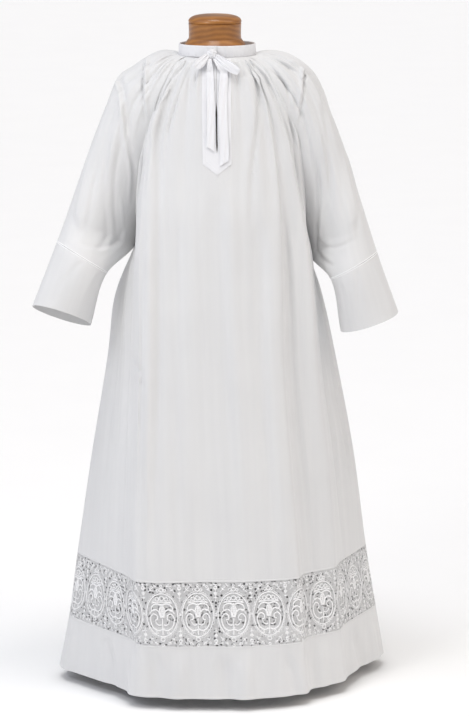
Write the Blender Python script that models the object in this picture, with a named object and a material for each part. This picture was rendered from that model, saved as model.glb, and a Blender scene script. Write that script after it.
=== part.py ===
"""A gathered alb with a tie neck, deep cuffs and a lace insertion, on a limbless dress form.

Metres, +Z up. The front faces -Y, and left is the -X side, as seen from the front. The origin is on
the floor, at the centre of the stand's foot. Every cloth piece is a grid of points with a wall.
"""
import math

import bmesh
import bpy
import numpy as np

# Cloth
CLOTH_WALL = 0.0012
BAND_WALL = 0.0024
SEAM_GAP = 0.0003

# Neckband, an oval ring whose outer end laps over its inner end at the front
NECK_X = 0.005
BAND_HALF_WIDTH = 0.083
BAND_HALF_DEPTH = 0.075
BAND_FOOT = 1.4162
BAND_TOP = 1.4400
BAND_LAP_LEFT = -0.042
BAND_LAP_RIGHT = 0.004
BAND_LAP_RISE = 0.0034

# Placket, the slit in its middle, and the tie
PLACKET_HALF_WIDTH = 0.031
PLACKET_CORNER_DROP = 0.220
PLACKET_POINT_DROP = 0.243
SLIT_DROP = 0.196
SLIT_NARROW = 0.0012
SLIT_WIDE = 0.0052

# Angles round the neckband, in degrees from +X, where the front meets the sleeves
RAGLAN_ANGLE = 38.0

# Levels down the body: the height of the middle of the front and of the back at each
LEVELS = {
    "collar": 1.414,
    "puff": 1.408,
    "yoke": 1.375,
    "bust": 1.310,
    "chest": 1.240,
    "blade": 1.170,
    "gusset": 1.090,
    "underarm": 1.000,
    "waist": 0.880,
    "hip": 0.740,
    "thigh": 0.520,
    "lace_top": 0.295,
    "lace_foot": 0.145,
    "hem": 0.028,
}

# Front, a row for each level: x and y of the left fold, the middle and the two pleats on the right,
# and how deep the cloth turns back behind each of those folds
FRONT = {
    "puff": ((-0.064, -0.066), (0.004, -0.088), (0.068, -0.070), (0.077, -0.063), 0.000),
    "yoke": ((-0.094, -0.090), (0.004, -0.108), (0.094, -0.092), (0.108, -0.084), 0.001),
    "bust": ((-0.122, -0.102), (0.004, -0.130), (0.112, -0.109), (0.138, -0.097), 0.002),
    "chest": ((-0.145, -0.113), (0.005, -0.148), (0.124, -0.121), (0.158, -0.106), 0.004),
    "blade": ((-0.151, -0.132), (0.006, -0.163), (0.134, -0.137), (0.172, -0.115), 0.009),
    "gusset": ((-0.160, -0.152), (0.008, -0.178), (0.141, -0.152), (0.188, -0.121), 0.016),
    "underarm": ((-0.164, -0.165), (0.010, -0.189), (0.144, -0.165), (0.203, -0.128), 0.022),
    "waist": ((-0.165, -0.180), (0.014, -0.202), (0.146, -0.180), (0.215, -0.135), 0.028),
    "hip": ((-0.167, -0.195), (0.020, -0.214), (0.150, -0.193), (0.225, -0.139), 0.030),
    "thigh": ((-0.173, -0.222), (0.029, -0.232), (0.167, -0.206), (0.250, -0.135), 0.031),
    "lace_top": ((-0.176, -0.241), (0.036, -0.247), (0.185, -0.217), (0.266, -0.133), 0.031),
    "lace_foot": ((-0.170, -0.238), (0.038, -0.255), (0.194, -0.219), (0.278, -0.133), 0.030),
    "hem": ((-0.184, -0.232), (0.040, -0.261), (0.205, -0.221), (0.290, -0.134), 0.030),
}

# Back, a row for each level: x and y of the left fold, the middle and the right fold, and the depth
# of the turn behind each fold
BACK = {
    "puff": ((-0.059, 0.072), (0.005, 0.087), (0.069, 0.071), 0.000),
    "yoke": ((-0.088, 0.095), (0.005, 0.106), (0.098, 0.094), 0.001),
    "bust": ((-0.108, 0.114), (0.006, 0.124), (0.120, 0.113), 0.003),
    "chest": ((-0.116, 0.126), (0.006, 0.138), (0.129, 0.124), 0.006),
    "blade": ((-0.121, 0.136), (0.007, 0.149), (0.134, 0.135), 0.010),
    "gusset": ((-0.127, 0.146), (0.008, 0.160), (0.140, 0.146), 0.014),
    "underarm": ((-0.134, 0.156), (0.010, 0.171), (0.147, 0.157), 0.018),
    "waist": ((-0.142, 0.168), (0.013, 0.184), (0.156, 0.171), 0.021),
    "hip": ((-0.151, 0.182), (0.017, 0.199), (0.168, 0.187), 0.024),
    "thigh": ((-0.165, 0.205), (0.023, 0.223), (0.186, 0.213), 0.027),
    "lace_top": ((-0.179, 0.226), (0.029, 0.246), (0.203, 0.236), 0.028),
    "lace_foot": ((-0.187, 0.238), (0.033, 0.258), (0.213, 0.249), 0.028),
    "hem": ((-0.195, 0.248), (0.036, 0.268), (0.222, 0.260), 0.028),
}

# Side seams below the underarm: x and y on the left, then on the right
SIDE_SEAMS = {
    "waist": ((-0.223, 0.004), (0.238, 0.020)),
    "hip": ((-0.241, 0.008), (0.269, 0.034)),
    "thigh": ((-0.278, 0.008), (0.311, 0.050)),
    "lace_top": ((-0.312, 0.000), (0.342, 0.064)),
    "lace_foot": ((-0.333, -0.007), (0.367, 0.070)),
    "hem": ((-0.356, -0.015), (0.387, 0.073)),
}

# Sleeves, a row for each level of the raglan seams: the front seam, the top line and the back seam,
# each x, y and z, and half the angle that the cloth goes round, in degrees
SLEEVE_LEFT = {
    "puff": ((-0.081, -0.058, 1.406), (-0.097, 0.000, 1.4225), (-0.082, 0.060, 1.408), 46),
    "yoke": ((-0.104, -0.080, 1.374), (-0.135, 0.000, 1.4150), (-0.105, 0.084, 1.378), 60),
    "bust": ((-0.131, -0.090, 1.314), (-0.175, -0.002, 1.3895), (-0.129, 0.101, 1.316), 76),
    "chest": ((-0.151, -0.086, 1.250), (-0.212, -0.006, 1.3640), (-0.146, 0.105, 1.255), 92),
    "blade": ((-0.162, -0.080, 1.175), (-0.240, -0.015, 1.3000), (-0.157, 0.098, 1.178), 108),
    "gusset": ((-0.172, -0.056, 1.090), (-0.274, -0.030, 1.2130), (-0.168, 0.065, 1.092), 134),
}
SLEEVE_RIGHT = {
    "puff": ((0.091, -0.056, 1.406), (0.107, 0.000, 1.4215), (0.092, 0.058, 1.408), 46),
    "yoke": ((0.119, -0.076, 1.378), (0.153, 0.000, 1.4180), (0.117, 0.082, 1.380), 60),
    "bust": ((0.153, -0.085, 1.316), (0.196, -0.002, 1.3930), (0.142, 0.099, 1.318), 76),
    "chest": ((0.179, -0.080, 1.250), (0.225, -0.005, 1.3580), (0.160, 0.103, 1.255), 92),
    "blade": ((0.191, -0.074, 1.172), (0.249, -0.010, 1.3000), (0.170, 0.096, 1.176), 108),
    "gusset": ((0.200, -0.050, 1.078), (0.282, -0.018, 1.2160), (0.190, 0.060, 1.082), 134),
}

# Sleeve rings past the underarm: upper point, lower point and half depth
ARM_LEFT = {
    "underarm": ((-0.317, -0.046, 1.091), (-0.178, -0.010, 0.995), (0.000, 0.080, 0.000)),
    "cuff_seam": ((-0.344, -0.085, 1.016), (-0.235, -0.105, 0.951), (0.000, 0.062, -0.012)),
    "cuff_end": ((-0.398, -0.115, 0.878), (-0.272, -0.105, 0.836), (0.000, 0.060, -0.022)),
}
ARM_RIGHT = {
    "underarm": ((0.323, -0.026, 1.088), (0.207, -0.010, 0.975), (0.000, 0.078, 0.000)),
    "cuff_seam": ((0.355, -0.050, 0.989), (0.252, -0.082, 0.935), (0.000, 0.060, -0.004)),
    "cuff_end": ((0.402, -0.078, 0.858), (0.276, -0.086, 0.820), (0.006, 0.056, 0.004)),
}

# Where the named rings lie along the sleeve, counted from the underarm
ARM_STATIONS = {"gusset": -1.0, "underarm": 0.0, "cuff_seam": 1.0, "cuff_end": 2.4}

# Where the guides sit across a panel, as shares of its width, and their angles on the neckband
FRONT_SHARES = (0, 0.03, 0.17, 0.20, 0.41, 0.49, 0.57, 0.69, 0.72, 0.80, 0.83, 0.97, 1)
FRONT_ANGLES = (-142, -141, -137, -135.5, None, None, None, -50, -48.5, -43, -42, -38.7, -38)
BACK_SHARES = (0, 0.03, 0.17, 0.20, 0.50, 0.80, 0.83, 0.97, 1)
BACK_ANGLES = (142, 141, 131.5, 130, 90, 50, 48.5, 39, 38)

# The first stretch of a panel in from its edge, as a share of the way to the next fold; below the
# arm it runs nearly along Y, so that front and back meet in one round
TURN_SHARE = 0.20
TURN_REACH = 0.022
TURN_IN = 0.25

# Gathers: how far the cloth swells at each level, and how many swells each panel has
SWELL = {"puff": 0.0034, "yoke": 0.0052, "bust": 0.0042, "chest": 0.0030, "blade": 0.0020,
         "gusset": 0.0012, "underarm": 0.0008}
FRONT_SWELLS = 11
BACK_SWELLS = 11
SLEEVE_SWELLS = 4

# Rows and columns of the cloth, by height and by count
YOKE_ROWS = (1.414, 1.411, 1.406, 1.392, 1.370, 1.335, 1.295, 1.255, 1.219, 1.195, 1.172,
             1.130, 1.085, 1.040, 1.000)
BODY_ROWS = YOKE_ROWS + (0.965, 0.920, 0.850, 0.740, 0.600, 0.440)
FRONT_COLUMNS = 28
BACK_COLUMNS = 22
SLEEVE_COLUMNS = 16
CUFF_COLUMNS = 20

# The knot of the tie: its centre and half sizes
KNOT = (-0.0065, -0.0895, 1.4255)
KNOT_HALF = (0.0105, 0.0068, 0.0100)

# Dress form: height, half width and half depth of each section
TORSO = (
    (1.4098, 0.066, 0.064),
    (1.4030, 0.095, 0.067),
    (1.3880, 0.142, 0.068),
    (1.3620, 0.170, 0.074),
    (1.3150, 0.168, 0.084),
    (1.2500, 0.146, 0.098),
    (1.1700, 0.138, 0.110),
    (1.0900, 0.132, 0.108),
    (1.0000, 0.120, 0.096),
    (0.9000, 0.134, 0.108),
    (0.8200, 0.150, 0.120),
    (0.7600, 0.152, 0.122),
    (0.7200, 0.148, 0.118),
)
# Wooden neck block, turned: height and radius
NECK_BLOCK = (
    (1.4101, 0.0660),
    (1.4360, 0.0668),
    (1.4410, 0.0664),
    (1.4470, 0.0610),
    (1.4530, 0.0574),
    (1.4580, 0.0566),
    (1.4700, 0.0572),
    (1.4836, 0.0580),
    (1.4848, 0.0566),
    (1.4862, 0.0580),
    (1.4915, 0.0574),
    (1.4960, 0.0540),
    (1.5000, 0.0440),
    (1.5020, 0.0300),
    (1.5030, 0.0120),
)
POLE_RADIUS = 0.016
SOCKET_RADIUS = 0.030
SOCKET_HEIGHT = 0.045
FOOT_RADIUS = 0.160
FOOT_HEIGHT = 0.020

COLOURS = {
    "cloth": (0.86, 0.86, 0.88, 1.0),
    "lace": (0.78, 0.78, 0.80, 1.0),
    "linen": (0.62, 0.56, 0.47, 1.0),
    "wood": (0.46, 0.17, 0.03, 1.0),
    "steel": (0.20, 0.20, 0.21, 1.0),
}


def fade(height, high, low):
    """0 above `high`, 1 below `low`, smoothly between."""
    t = min(max((high - height) / (high - low), 0.0), 1.0)
    return t * t * (3 - 2 * t)


def spline(stations, values, at):
    """Smooth curve through values at rising stations, read at each of `at`."""
    stations = np.asarray(stations, float)
    values = np.asarray(values, float)
    at = np.asarray(at, float)
    slopes = np.gradient(values, stations, axis=0)
    first = np.clip(np.searchsorted(stations, at, side="right") - 1, 0, len(stations) - 2)
    width = (stations[first + 1] - stations[first])[:, None]
    t = ((at - stations[first])[:, None]) / width
    start, end = values[first], values[first + 1]
    leave, arrive = slopes[first] * width, slopes[first + 1] * width
    return (start * (1 + 2 * t) * (1 - t) ** 2 + leave * t * (1 - t) ** 2
            + end * t * t * (3 - 2 * t) + arrive * t * t * (t - 1))


def straight(stations, values, at):
    """Straight runs through the same values."""
    values = np.asarray(values, float)
    return np.stack([np.interp(at, stations, values[:, k]) for k in range(values.shape[1])], axis=1)


def down(levels, table, height):
    """A table's columns at given heights, smoothly from one level to the next."""
    drops = [-LEVELS[name] for name in levels]
    steps = np.arange(len(levels))
    at = np.interp(-np.asarray(height, float), drops, steps)
    return spline(steps, [table[name] for name in levels], at)


def on_band(angle, x=None):
    """A point on the neckband's oval, by its angle in degrees or, on the front, by its x."""
    if x is not None:
        angle = -math.degrees(math.acos((x - NECK_X) / BAND_HALF_WIDTH))
    turn = math.radians(angle)
    return np.array((NECK_X + BAND_HALF_WIDTH * math.cos(turn), BAND_HALF_DEPTH * math.sin(turn),
                     LEVELS["collar"]))


def sleeve_frames(seams, arm, side):
    """Centre, upward reach, depth and half angle of the sleeve's ring at each named level."""
    start = on_band(-90 + side * (90 - RAGLAN_ANGLE))
    end = start * (1, -1, 1)
    crown = on_band(90 - side * 90)
    rows = {"collar": (start, crown, end, RAGLAN_ANGLE)}
    rows.update(seams)
    frames = {}
    for name, (front, top, back, half_angle) in rows.items():
        front, top, back = np.array(front), np.array(top), np.array(back)
        half = math.radians(half_angle)
        reach = (top - (front + back) / 2) / (1 - math.cos(half))
        depth = (back - front) / (2 * math.sin(half))
        frames[name] = np.concatenate((top - reach, reach, depth, [half]))
    for name, (top, low, depth) in arm.items():
        top, low = np.array(top), np.array(low)
        frames[name] = np.concatenate(((top + low) / 2, (top - low) / 2, depth, [math.pi]))
    return frames


def ring_points(frame, u, pinch=0.0):
    """Points round one sleeve ring, from its front seam over the top to its back seam.

    `pinch` draws a full ring in to a point at the seam under the arm.
    """
    centre, reach, depth, half = frame[0:3], frame[3:6], frame[6:9], frame[9]
    turn = (np.asarray(u) * 2 - 1) * half
    narrow = 1 - pinch + pinch * np.cos(turn / 2) / math.cos(math.radians(45))
    return (centre + np.cos(turn)[:, None] * reach
            + (np.sin(turn) * narrow)[:, None] * depth)


def seam_pinch(height):
    """How far the sleeve's ring is pinched at a height above the underarm."""
    return 0.8 * fade(height, LEVELS["gusset"], LEVELS["underarm"])


SEAM_LEVELS = ("collar", "puff", "yoke", "bust", "chest", "blade", "gusset", "underarm")
ALL_LEVELS = tuple(LEVELS)
FRAMES = {"left": sleeve_frames(SLEEVE_LEFT, ARM_LEFT, -1),
          "right": sleeve_frames(SLEEVE_RIGHT, ARM_RIGHT, 1)}


def seam_frame(side, height):
    return down(SEAM_LEVELS, FRAMES[side], [height])[0]


def arm_frame(side, station):
    """A whole ring past the underarm; the cuff seam is station 1."""
    stations = list(ARM_STATIONS.values())
    frame = spline(stations, [FRAMES[side][name] for name in ARM_STATIONS], [station])[0]
    frame[9] = math.pi
    return frame


def edge_point(side, height, facing):
    """A panel's edge: on the raglan seam down to the underarm, then on the side seam."""
    if height >= LEVELS["underarm"]:
        share = 0.0 if facing < 0 else 1.0
        return ring_points(seam_frame(side, height), [share], seam_pinch(height))[0]
    levels = ALL_LEVELS[ALL_LEVELS.index("underarm"):]
    column = 0 if side == "left" else 1
    low = np.array(ARM_LEFT["underarm"][1] if side == "left" else ARM_RIGHT["underarm"][1])
    table = {name: np.array((*SIDE_SEAMS[name][column], LEVELS[name])) for name in levels[1:]}
    table["underarm"] = low
    return down(levels, table, [height])[0]


def body_guides(height, facing):
    """The guide points across one row of the front (facing -1) or the back (facing 1)."""
    left, right = edge_point("left", height, facing), edge_point("right", height, facing)
    turned = fade(height, LEVELS["underarm"] + 0.02, LEVELS["underarm"] - 0.05)
    table = FRONT if facing < 0 else BACK
    levels = ALL_LEVELS[1:]
    flat = {name: np.concatenate([np.ravel(cell) for cell in table[name]]) for name in levels}
    row = down(levels, flat, [height])[0]
    depth = row[-1]
    folds = [np.array((row[k], row[k + 1], height)) for k in range(0, len(row) - 1, 2)]
    back_turn = np.array((0.0, -facing * depth, 0.0))
    if facing < 0:
        fold, middle, pleat_1, pleat_2 = folds
        spread = max(height, LEVELS["blade"])
        wide = down(levels, flat, [spread])[0]
        share_left = PLACKET_HALF_WIDTH / (wide[2] - wide[0])
        share_right = PLACKET_HALF_WIDTH / (wide[4] - wide[2])
        edge_left = middle + (fold - middle) * (share_left, share_left ** 2, 0)
        edge_right = middle + (pleat_1 - middle) * (share_right, share_right ** 2, 0)
        inner_left = fold + back_turn + (-0.35 * depth, 0, 0)
        inner_right = pleat_2 + back_turn + (0.2 * depth, 0, 0)
        between = [inner_left, fold, edge_left, middle, edge_right, pleat_1,
                   pleat_1 + back_turn + (0.2 * depth, 0, 0), pleat_2, inner_right]
    else:
        fold_left, middle, fold_right = folds
        inner_left = fold_left + back_turn + (-0.2 * depth, 0, 0)
        inner_right = fold_right + back_turn + (0.2 * depth, 0, 0)
        between = [inner_left, fold_left, middle, fold_right, inner_right]
    ends = []
    for edge, inner, side in ((left, inner_left, 1), (right, inner_right, -1)):
        plain = (inner - edge) * TURN_SHARE
        round_in = np.array((side * TURN_IN, facing, 0.0)) * TURN_REACH
        ends.append(edge + plain + (round_in - plain) * turned)
    return [left, ends[0], *between, ends[1], right]


def collar_guides(facing):
    if facing > 0:
        return [on_band(angle) for angle in BACK_ANGLES]
    middle = FRONT["puff"][1][0]
    placket = {4: middle - PLACKET_HALF_WIDTH, 5: middle, 6: middle + PLACKET_HALF_WIDTH}
    return [on_band(angle, placket.get(k)) for k, angle in enumerate(FRONT_ANGLES)]


def panel(heights, shares, facing):
    """The smooth surface of the front or the back, a row of points for each height."""
    stops = FRONT_SHARES if facing < 0 else BACK_SHARES
    rows = []
    collar = np.array(collar_guides(facing))
    puff_height = LEVELS["puff"]
    for height in heights:
        guides = np.array(body_guides(min(height, puff_height), facing))
        if height > puff_height:
            t = (LEVELS["collar"] - height) / (LEVELS["collar"] - puff_height)
            guides = collar + (guides - collar) * t
        crisp = 0.72 * fade(height, 1.30, 1.05)
        curve = spline(stops, guides, shares)
        rows.append(curve + (straight(stops, guides, shares) - curve) * crisp)
    return np.array(rows)


def normals(grid, outward):
    across = np.gradient(grid, axis=1)
    along = np.gradient(grid, axis=0)
    normal = np.cross(across, along)
    return outward * normal / np.maximum(np.linalg.norm(normal, axis=2, keepdims=True), 1e-9)


def swell(grid, heights, shares, count, outward, flat_at=None):
    """Gathers: uneven swells that fan out from the neckband and die away downwards."""
    bust = int(np.argmin(np.abs(np.asarray(heights) - LEVELS["bust"])))
    steps = np.linalg.norm(np.diff(grid, axis=1), axis=2)
    along = np.concatenate(([0.0], np.cumsum(steps[bust])))
    phase = along / along[-1]
    names = ("collar",) + tuple(SWELL) + ("waist",)
    amounts = dict(SWELL, collar=0.0, waist=0.0)
    size = np.interp(-np.asarray(heights), [-LEVELS[n] for n in names], [amounts[n] for n in names])
    u = np.asarray(shares)
    wave = np.cos(2 * math.pi * count * phase) + 0.45 * np.cos(2 * math.pi * count * 0.62 * phase + 1.3)
    wave *= np.clip(np.minimum(u, 1 - u) / 0.06, 0, 1)
    if flat_at is not None:
        middle, half = flat_at
        wave *= np.clip((np.abs(u - middle) - half) / 0.03, 0, 1)
    widths = np.sum(steps, axis=1)
    size = 0.7 * np.minimum(size, 0.16 * widths / count)
    return grid + normals(grid, outward) * (size[:, None] * wave[None, :])[..., None]


def set_back(grid, column, neighbour, other, more=0.0):
    """Move an edge column in, so that two walls which meet at an angle keep the seam's gap."""
    inward = 1 if column == 0 else -1
    out = grid[:, column] - grid[:, column + inward]
    other_in = 1 if other == 0 else -1
    away = neighbour[:, other + other_in] - neighbour[:, other]
    out /= np.linalg.norm(out, axis=1, keepdims=True)
    away = away / np.linalg.norm(away, axis=1, keepdims=True)
    bend = np.arccos(np.clip(np.sum(out * away, axis=1), -1, 1))
    pull = more + SEAM_GAP / 2 + CLOTH_WALL / 2 * np.tan(np.minimum(bend, math.radians(152)) / 2)
    moved = grid.copy()
    moved[:, column] -= out * pull[:, None]
    return moved


def material(name):
    found = bpy.data.materials.get(name)
    if found is None:
        found = bpy.data.materials.new(name)
        found.use_nodes = True
        shader = found.node_tree.nodes["Principled BSDF"]
        shader.inputs["Base Color"].default_value = COLOURS[name]
        shader.inputs["Roughness"].default_value = 0.45 if name in ("wood", "steel") else 0.9
        shader.inputs["Metallic"].default_value = 1.0 if name == "steel" else 0.0
    return found


def add_mesh(name, vertices, faces, finish, smooth=True):
    mesh = bpy.data.meshes.new(name)
    mesh.from_pydata([tuple(map(float, p)) for p in vertices], [], faces)
    mesh.validate()
    thing = bpy.data.objects.new(name, mesh)
    bpy.context.collection.objects.link(thing)
    mesh.materials.append(material(finish))
    if smooth:
        mesh.shade_smooth()
    return thing


def wall(thing, thickness):
    solid = thing.modifiers.new("Wall", "SOLIDIFY")
    solid.thickness = thickness
    solid.offset = 0.0
    return thing


def cloth(name, grid, finish="cloth", thickness=CLOTH_WALL, closed=False, skip=None):
    """A wall of cloth through a grid of points; `closed` joins its first and last columns."""
    rows, columns = grid.shape[:2]
    faces = []
    for i in range(rows - 1):
        for j in range(columns if closed else columns - 1):
            if skip and skip(i, j):
                continue
            k = (j + 1) % columns
            faces.append((i * columns + j, i * columns + k, (i + 1) * columns + k,
                          (i + 1) * columns + j))
    return wall(add_mesh(name, grid.reshape(-1, 3), faces, finish), thickness)


def loft(name, rings, finish):
    """A closed solid through rings of points, with flat ends."""
    count = len(rings[0])
    vertices = np.concatenate(rings)
    faces = []
    for i in range(len(rings) - 1):
        for j in range(count):
            k = (j + 1) % count
            faces.append((i * count + j, i * count + k, (i + 1) * count + k, (i + 1) * count + j))
    faces.append(tuple(reversed(range(count))))
    faces.append(tuple(range((len(rings) - 1) * count, len(rings) * count)))
    thing = add_mesh(name, vertices, faces, finish, smooth=False)
    mesh = thing.data
    sheet = bmesh.new()
    sheet.from_mesh(mesh)
    bmesh.ops.recalc_face_normals(sheet, faces=sheet.faces)
    sheet.to_mesh(mesh)
    sheet.free()
    mesh.shade_smooth()
    mesh.set_sharp_from_angle(angle=math.radians(40))
    return thing


def oval(height, half_width, half_depth, count, x=0.0):
    turns = np.arange(count) * 2 * math.pi / count
    return np.stack((x + half_width * np.cos(turns), half_depth * np.sin(turns),
                     np.full(count, height)), axis=1)


# ---- the body: front, back, lace and hem ----

LACE_TOP, LACE_FOOT, HEM = LEVELS["lace_top"], LEVELS["lace_foot"], LEVELS["hem"]


def columns(stops, count):
    """Evenly spaced shares, with a column on every guide."""
    spaced = [k / count for k in range(count + 1)]
    kept = [s for s in spaced if min(abs(s - stop) for stop in stops) > 0.45 / count]
    return np.array(sorted(set(kept) | set(stops)))


def slit_width(height):
    """The slit is a spindle: nearly shut at the tie, and widest above its foot."""
    drop = min(max((LEVELS["collar"] - height) / SLIT_DROP, 0.0), 1.0)
    return SLIT_NARROW + (SLIT_WIDE - SLIT_NARROW) * math.sin(math.pi * drop ** 1.6)


def split_middle(grid, heights, shares):
    """Two columns in place of the middle one, with the slit's width between them."""
    middle = int(np.argmin(np.abs(shares - FRONT_SHARES[5])))
    left, right = grid[:, middle].copy(), grid[:, middle].copy()
    for i, height in enumerate(heights):
        half = slit_width(height) / 2
        left[i, 0] -= half
        right[i, 0] += half
    return np.concatenate((grid[:, :middle], left[:, None], right[:, None], grid[:, middle + 1:]),
                          axis=1), middle


def make_body():
    """The front and back with the lace and hem bands below them, cut from the same surfaces."""
    front_shares = columns(FRONT_SHARES, FRONT_COLUMNS)
    back_shares = columns(BACK_SHARES, BACK_COLUMNS)
    flat = (FRONT_SHARES[5], FRONT_SHARES[6] - FRONT_SHARES[5])
    grids = {}
    spans = {"panel": BODY_ROWS + (LACE_TOP + SEAM_GAP / 2,),
             "lace": (LACE_TOP - SEAM_GAP / 2, 0.22, LACE_FOOT + SEAM_GAP / 2),
             "hem": (LACE_FOOT - SEAM_GAP / 2, HEM)}
    for part, heights in spans.items():
        front = swell(panel(heights, front_shares, -1), heights, front_shares, FRONT_SWELLS, 1, flat)
        back = swell(panel(heights, back_shares, 1), heights, back_shares, BACK_SWELLS, -1)
        grids[part] = (front, back, heights)
    return grids, front_shares, back_shares


def sleeve_grid(side):
    """One sleeve from the neckband to the cuff seam; its rows meet the body's down to the underarm."""
    shares = np.linspace(0, 1, SLEEVE_COLUMNS + 1)
    rows = [ring_points(seam_frame(side, height), shares, seam_pinch(height)) for height in YOKE_ROWS]
    for t in (0.25, 0.5, 0.75, 1.0):
        rows.append(ring_points(arm_frame(side, t), shares, 0.8 * (1 - t) ** 2))
    grid = np.array(rows)
    turned = -1 if side == "left" else 1
    heights = list(YOKE_ROWS) + [0.95, 0.90, 0.85, 0.80]
    return swell(grid, heights, shares, SLEEVE_SWELLS, turned)


def make_cloth_body():
    grids, front_shares, back_shares = make_body()
    sleeves = {side: sleeve_grid(side) for side in ("left", "right")}
    front, back, heights = grids["panel"]
    seam_rows = len(YOKE_ROWS)
    # The four seams that meet under the arm turn back sharply, and keep a little more room there
    clear = np.array([0.0003 + 0.0011 * fade(h, LEVELS["gusset"] + 0.03, LEVELS["gusset"] - 0.03)
                      for h in YOKE_ROWS])
    for side, edge in (("left", 0), ("right", -1)):
        sleeve = sleeves[side]
        for facing, column in ((-1, 0), (1, -1)):
            body = front if facing < 0 else back
            rows = slice(0, seam_rows)
            kept_body, kept_sleeve = body[rows].copy(), sleeve[rows].copy()
            body[rows] = set_back(kept_body, edge, kept_sleeve, column, clear)
            sleeve[rows] = set_back(kept_sleeve, column, kept_body, edge, clear)
        under = slice(seam_rows, None)
        kept_sleeve = sleeve[under].copy()
        sleeve[under] = set_back(kept_sleeve, 0, kept_sleeve, -1, CLOTH_WALL / 2)
        sleeve[under, -1] = set_back(kept_sleeve, -1, kept_sleeve, 0, CLOTH_WALL / 2)[:, -1]
        lower = slice(seam_rows, None)
        kept_front, kept_back = front[lower].copy(), back[lower].copy()
        front[lower] = set_back(kept_front, edge, kept_back, edge)
        back[lower] = set_back(kept_back, edge, kept_front, edge)
    for part in ("lace", "hem"):
        kept_front, kept_back = grids[part][0].copy(), grids[part][1].copy()
        for edge in (0, -1):
            grids[part][0][:, edge] = set_back(kept_front, edge, kept_back, edge)[:, edge]
            grids[part][1][:, edge] = set_back(kept_back, edge, kept_front, edge)[:, edge]
    split, middle = split_middle(front, heights, front_shares)
    slit_rows = [i for i, h in enumerate(heights[:-1]) if heights[i + 1] >= LEVELS["collar"] - SLIT_DROP]
    cloth("front_panel", split, skip=lambda i, j: j == middle and i in slit_rows)
    cloth("back_panel", back[:, ::-1])
    for side, grid in sleeves.items():
        cloth("sleeve_" + side, grid if side == "right" else grid[:, ::-1])
    for part, finish in (("lace", "lace"), ("hem", "cloth")):
        cloth(part + "_front", grids[part][0], finish)
        cloth(part + "_back", grids[part][1][:, ::-1], finish)
    return front_shares


def make_cuffs():
    """A deep cuff round each wrist, from the hemstitched seam to its open end."""
    turns = (np.arange(CUFF_COLUMNS) + 0.5) / CUFF_COLUMNS
    for side in ("left", "right"):
        rows = []
        for station in (1.01, 1.7, ARM_STATIONS["cuff_end"]):
            rows.append(ring_points(arm_frame(side, station), turns))
        grid = np.array(rows)
        cloth("cuff_" + side, grid if side == "right" else grid[:, ::-1], closed=True)


def make_neckband():
    """An oval band, its outer end lapped over its inner end beside the slit."""
    start = -math.acos((BAND_LAP_LEFT - NECK_X) / BAND_HALF_WIDTH)
    end = 2 * math.pi - math.acos((BAND_LAP_RIGHT - NECK_X) / BAND_HALF_WIDTH)
    count = 36
    rows = []
    for height in (BAND_TOP, BAND_FOOT + SEAM_GAP):
        row = []
        for k in range(count + 1):
            turn = start + (end - start) * k / count
            over = BAND_LAP_RISE * fade(-turn, -(end - 0.95), -(end - 0.60))
            flare = 0.001 * (height == BAND_TOP)
            row.append((NECK_X + (BAND_HALF_WIDTH + over - flare) * math.cos(turn),
                        (BAND_HALF_DEPTH + over - flare) * math.sin(turn), height + 0.2 * over))
        rows.append(row)
    cloth("neckband", np.array(rows), thickness=BAND_WALL)


def front_at(offset, height, lift):
    """A point on the placket's flat strip of the front, `offset` from its middle, moved out."""
    stops = FRONT_SHARES[4:7]
    reach = (stops[2] - stops[0]) / 2
    step = 0.004
    shares = np.array([stops[1] + reach * offset / PLACKET_HALF_WIDTH])
    rows = panel((height + step, height, height - step), shares, -1)[:, 0]
    along = rows[2] - rows[0]
    out = np.cross(along, (1, 0, 0))
    return rows[1] + lift * out / np.linalg.norm(out)


def make_placket(front_shares):
    """A facing with a pointed foot on the front, open down the slit."""
    lift = CLOTH_WALL + SEAM_GAP
    inner = [s for s in front_shares if FRONT_SHARES[4] - 1e-6 < s < FRONT_SHARES[6] + 1e-6]
    reach = (FRONT_SHARES[6] - FRONT_SHARES[4]) / 2
    offsets = [(s - FRONT_SHARES[5]) / reach * PLACKET_HALF_WIDTH for s in inner]
    top = LEVELS["collar"]
    rows = []
    levels = [h for h in YOKE_ROWS if top - 0.004 >= h > top - SLIT_DROP + 0.001]
    for height in levels:
        rows.append([(offset, height) for offset in offsets])
    rows.append([(offset, top - SLIT_DROP) for offset in offsets])
    foot = []
    for offset in offsets:
        share = abs(offset) / PLACKET_HALF_WIDTH
        foot.append((offset, top - PLACKET_POINT_DROP + (PLACKET_POINT_DROP - PLACKET_CORNER_DROP)
                     * share))
    rows.append(foot)
    grid = np.array([[front_at(offset, height, lift) for offset, height in row] for row in rows])
    heights = [row[0][1] for row in rows]
    middle = len(offsets) // 2
    left, right = grid[:, middle].copy(), grid[:, middle].copy()
    for i, height in enumerate(heights):
        half = slit_width(height) / 2
        left[i, 0] -= half
        right[i, 0] += half
    grid = np.concatenate((grid[:, :middle], left[:, None], right[:, None], grid[:, middle + 1:]), 1)
    cloth("placket", grid, skip=lambda i, j: j == middle and i < len(levels))


# ---- the tie ----

def make_knot():
    sheet = bmesh.new()
    bmesh.ops.create_cube(sheet, size=2.0)
    bmesh.ops.subdivide_edges(sheet, edges=sheet.edges, cuts=2, use_grid_fill=True)
    for vertex in sheet.verts:
        round_in = vertex.co.normalized() * 1.25
        vertex.co = vertex.co * 0.45 + round_in * 0.55
        vertex.co = tuple(KNOT[k] + vertex.co[k] * KNOT_HALF[k] for k in range(3))
    mesh = bpy.data.meshes.new("tie_knot")
    sheet.to_mesh(mesh)
    sheet.free()
    mesh.materials.append(material("cloth"))
    mesh.shade_smooth()
    bpy.context.collection.objects.link(bpy.data.objects.new("tie_knot", mesh))


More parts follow.
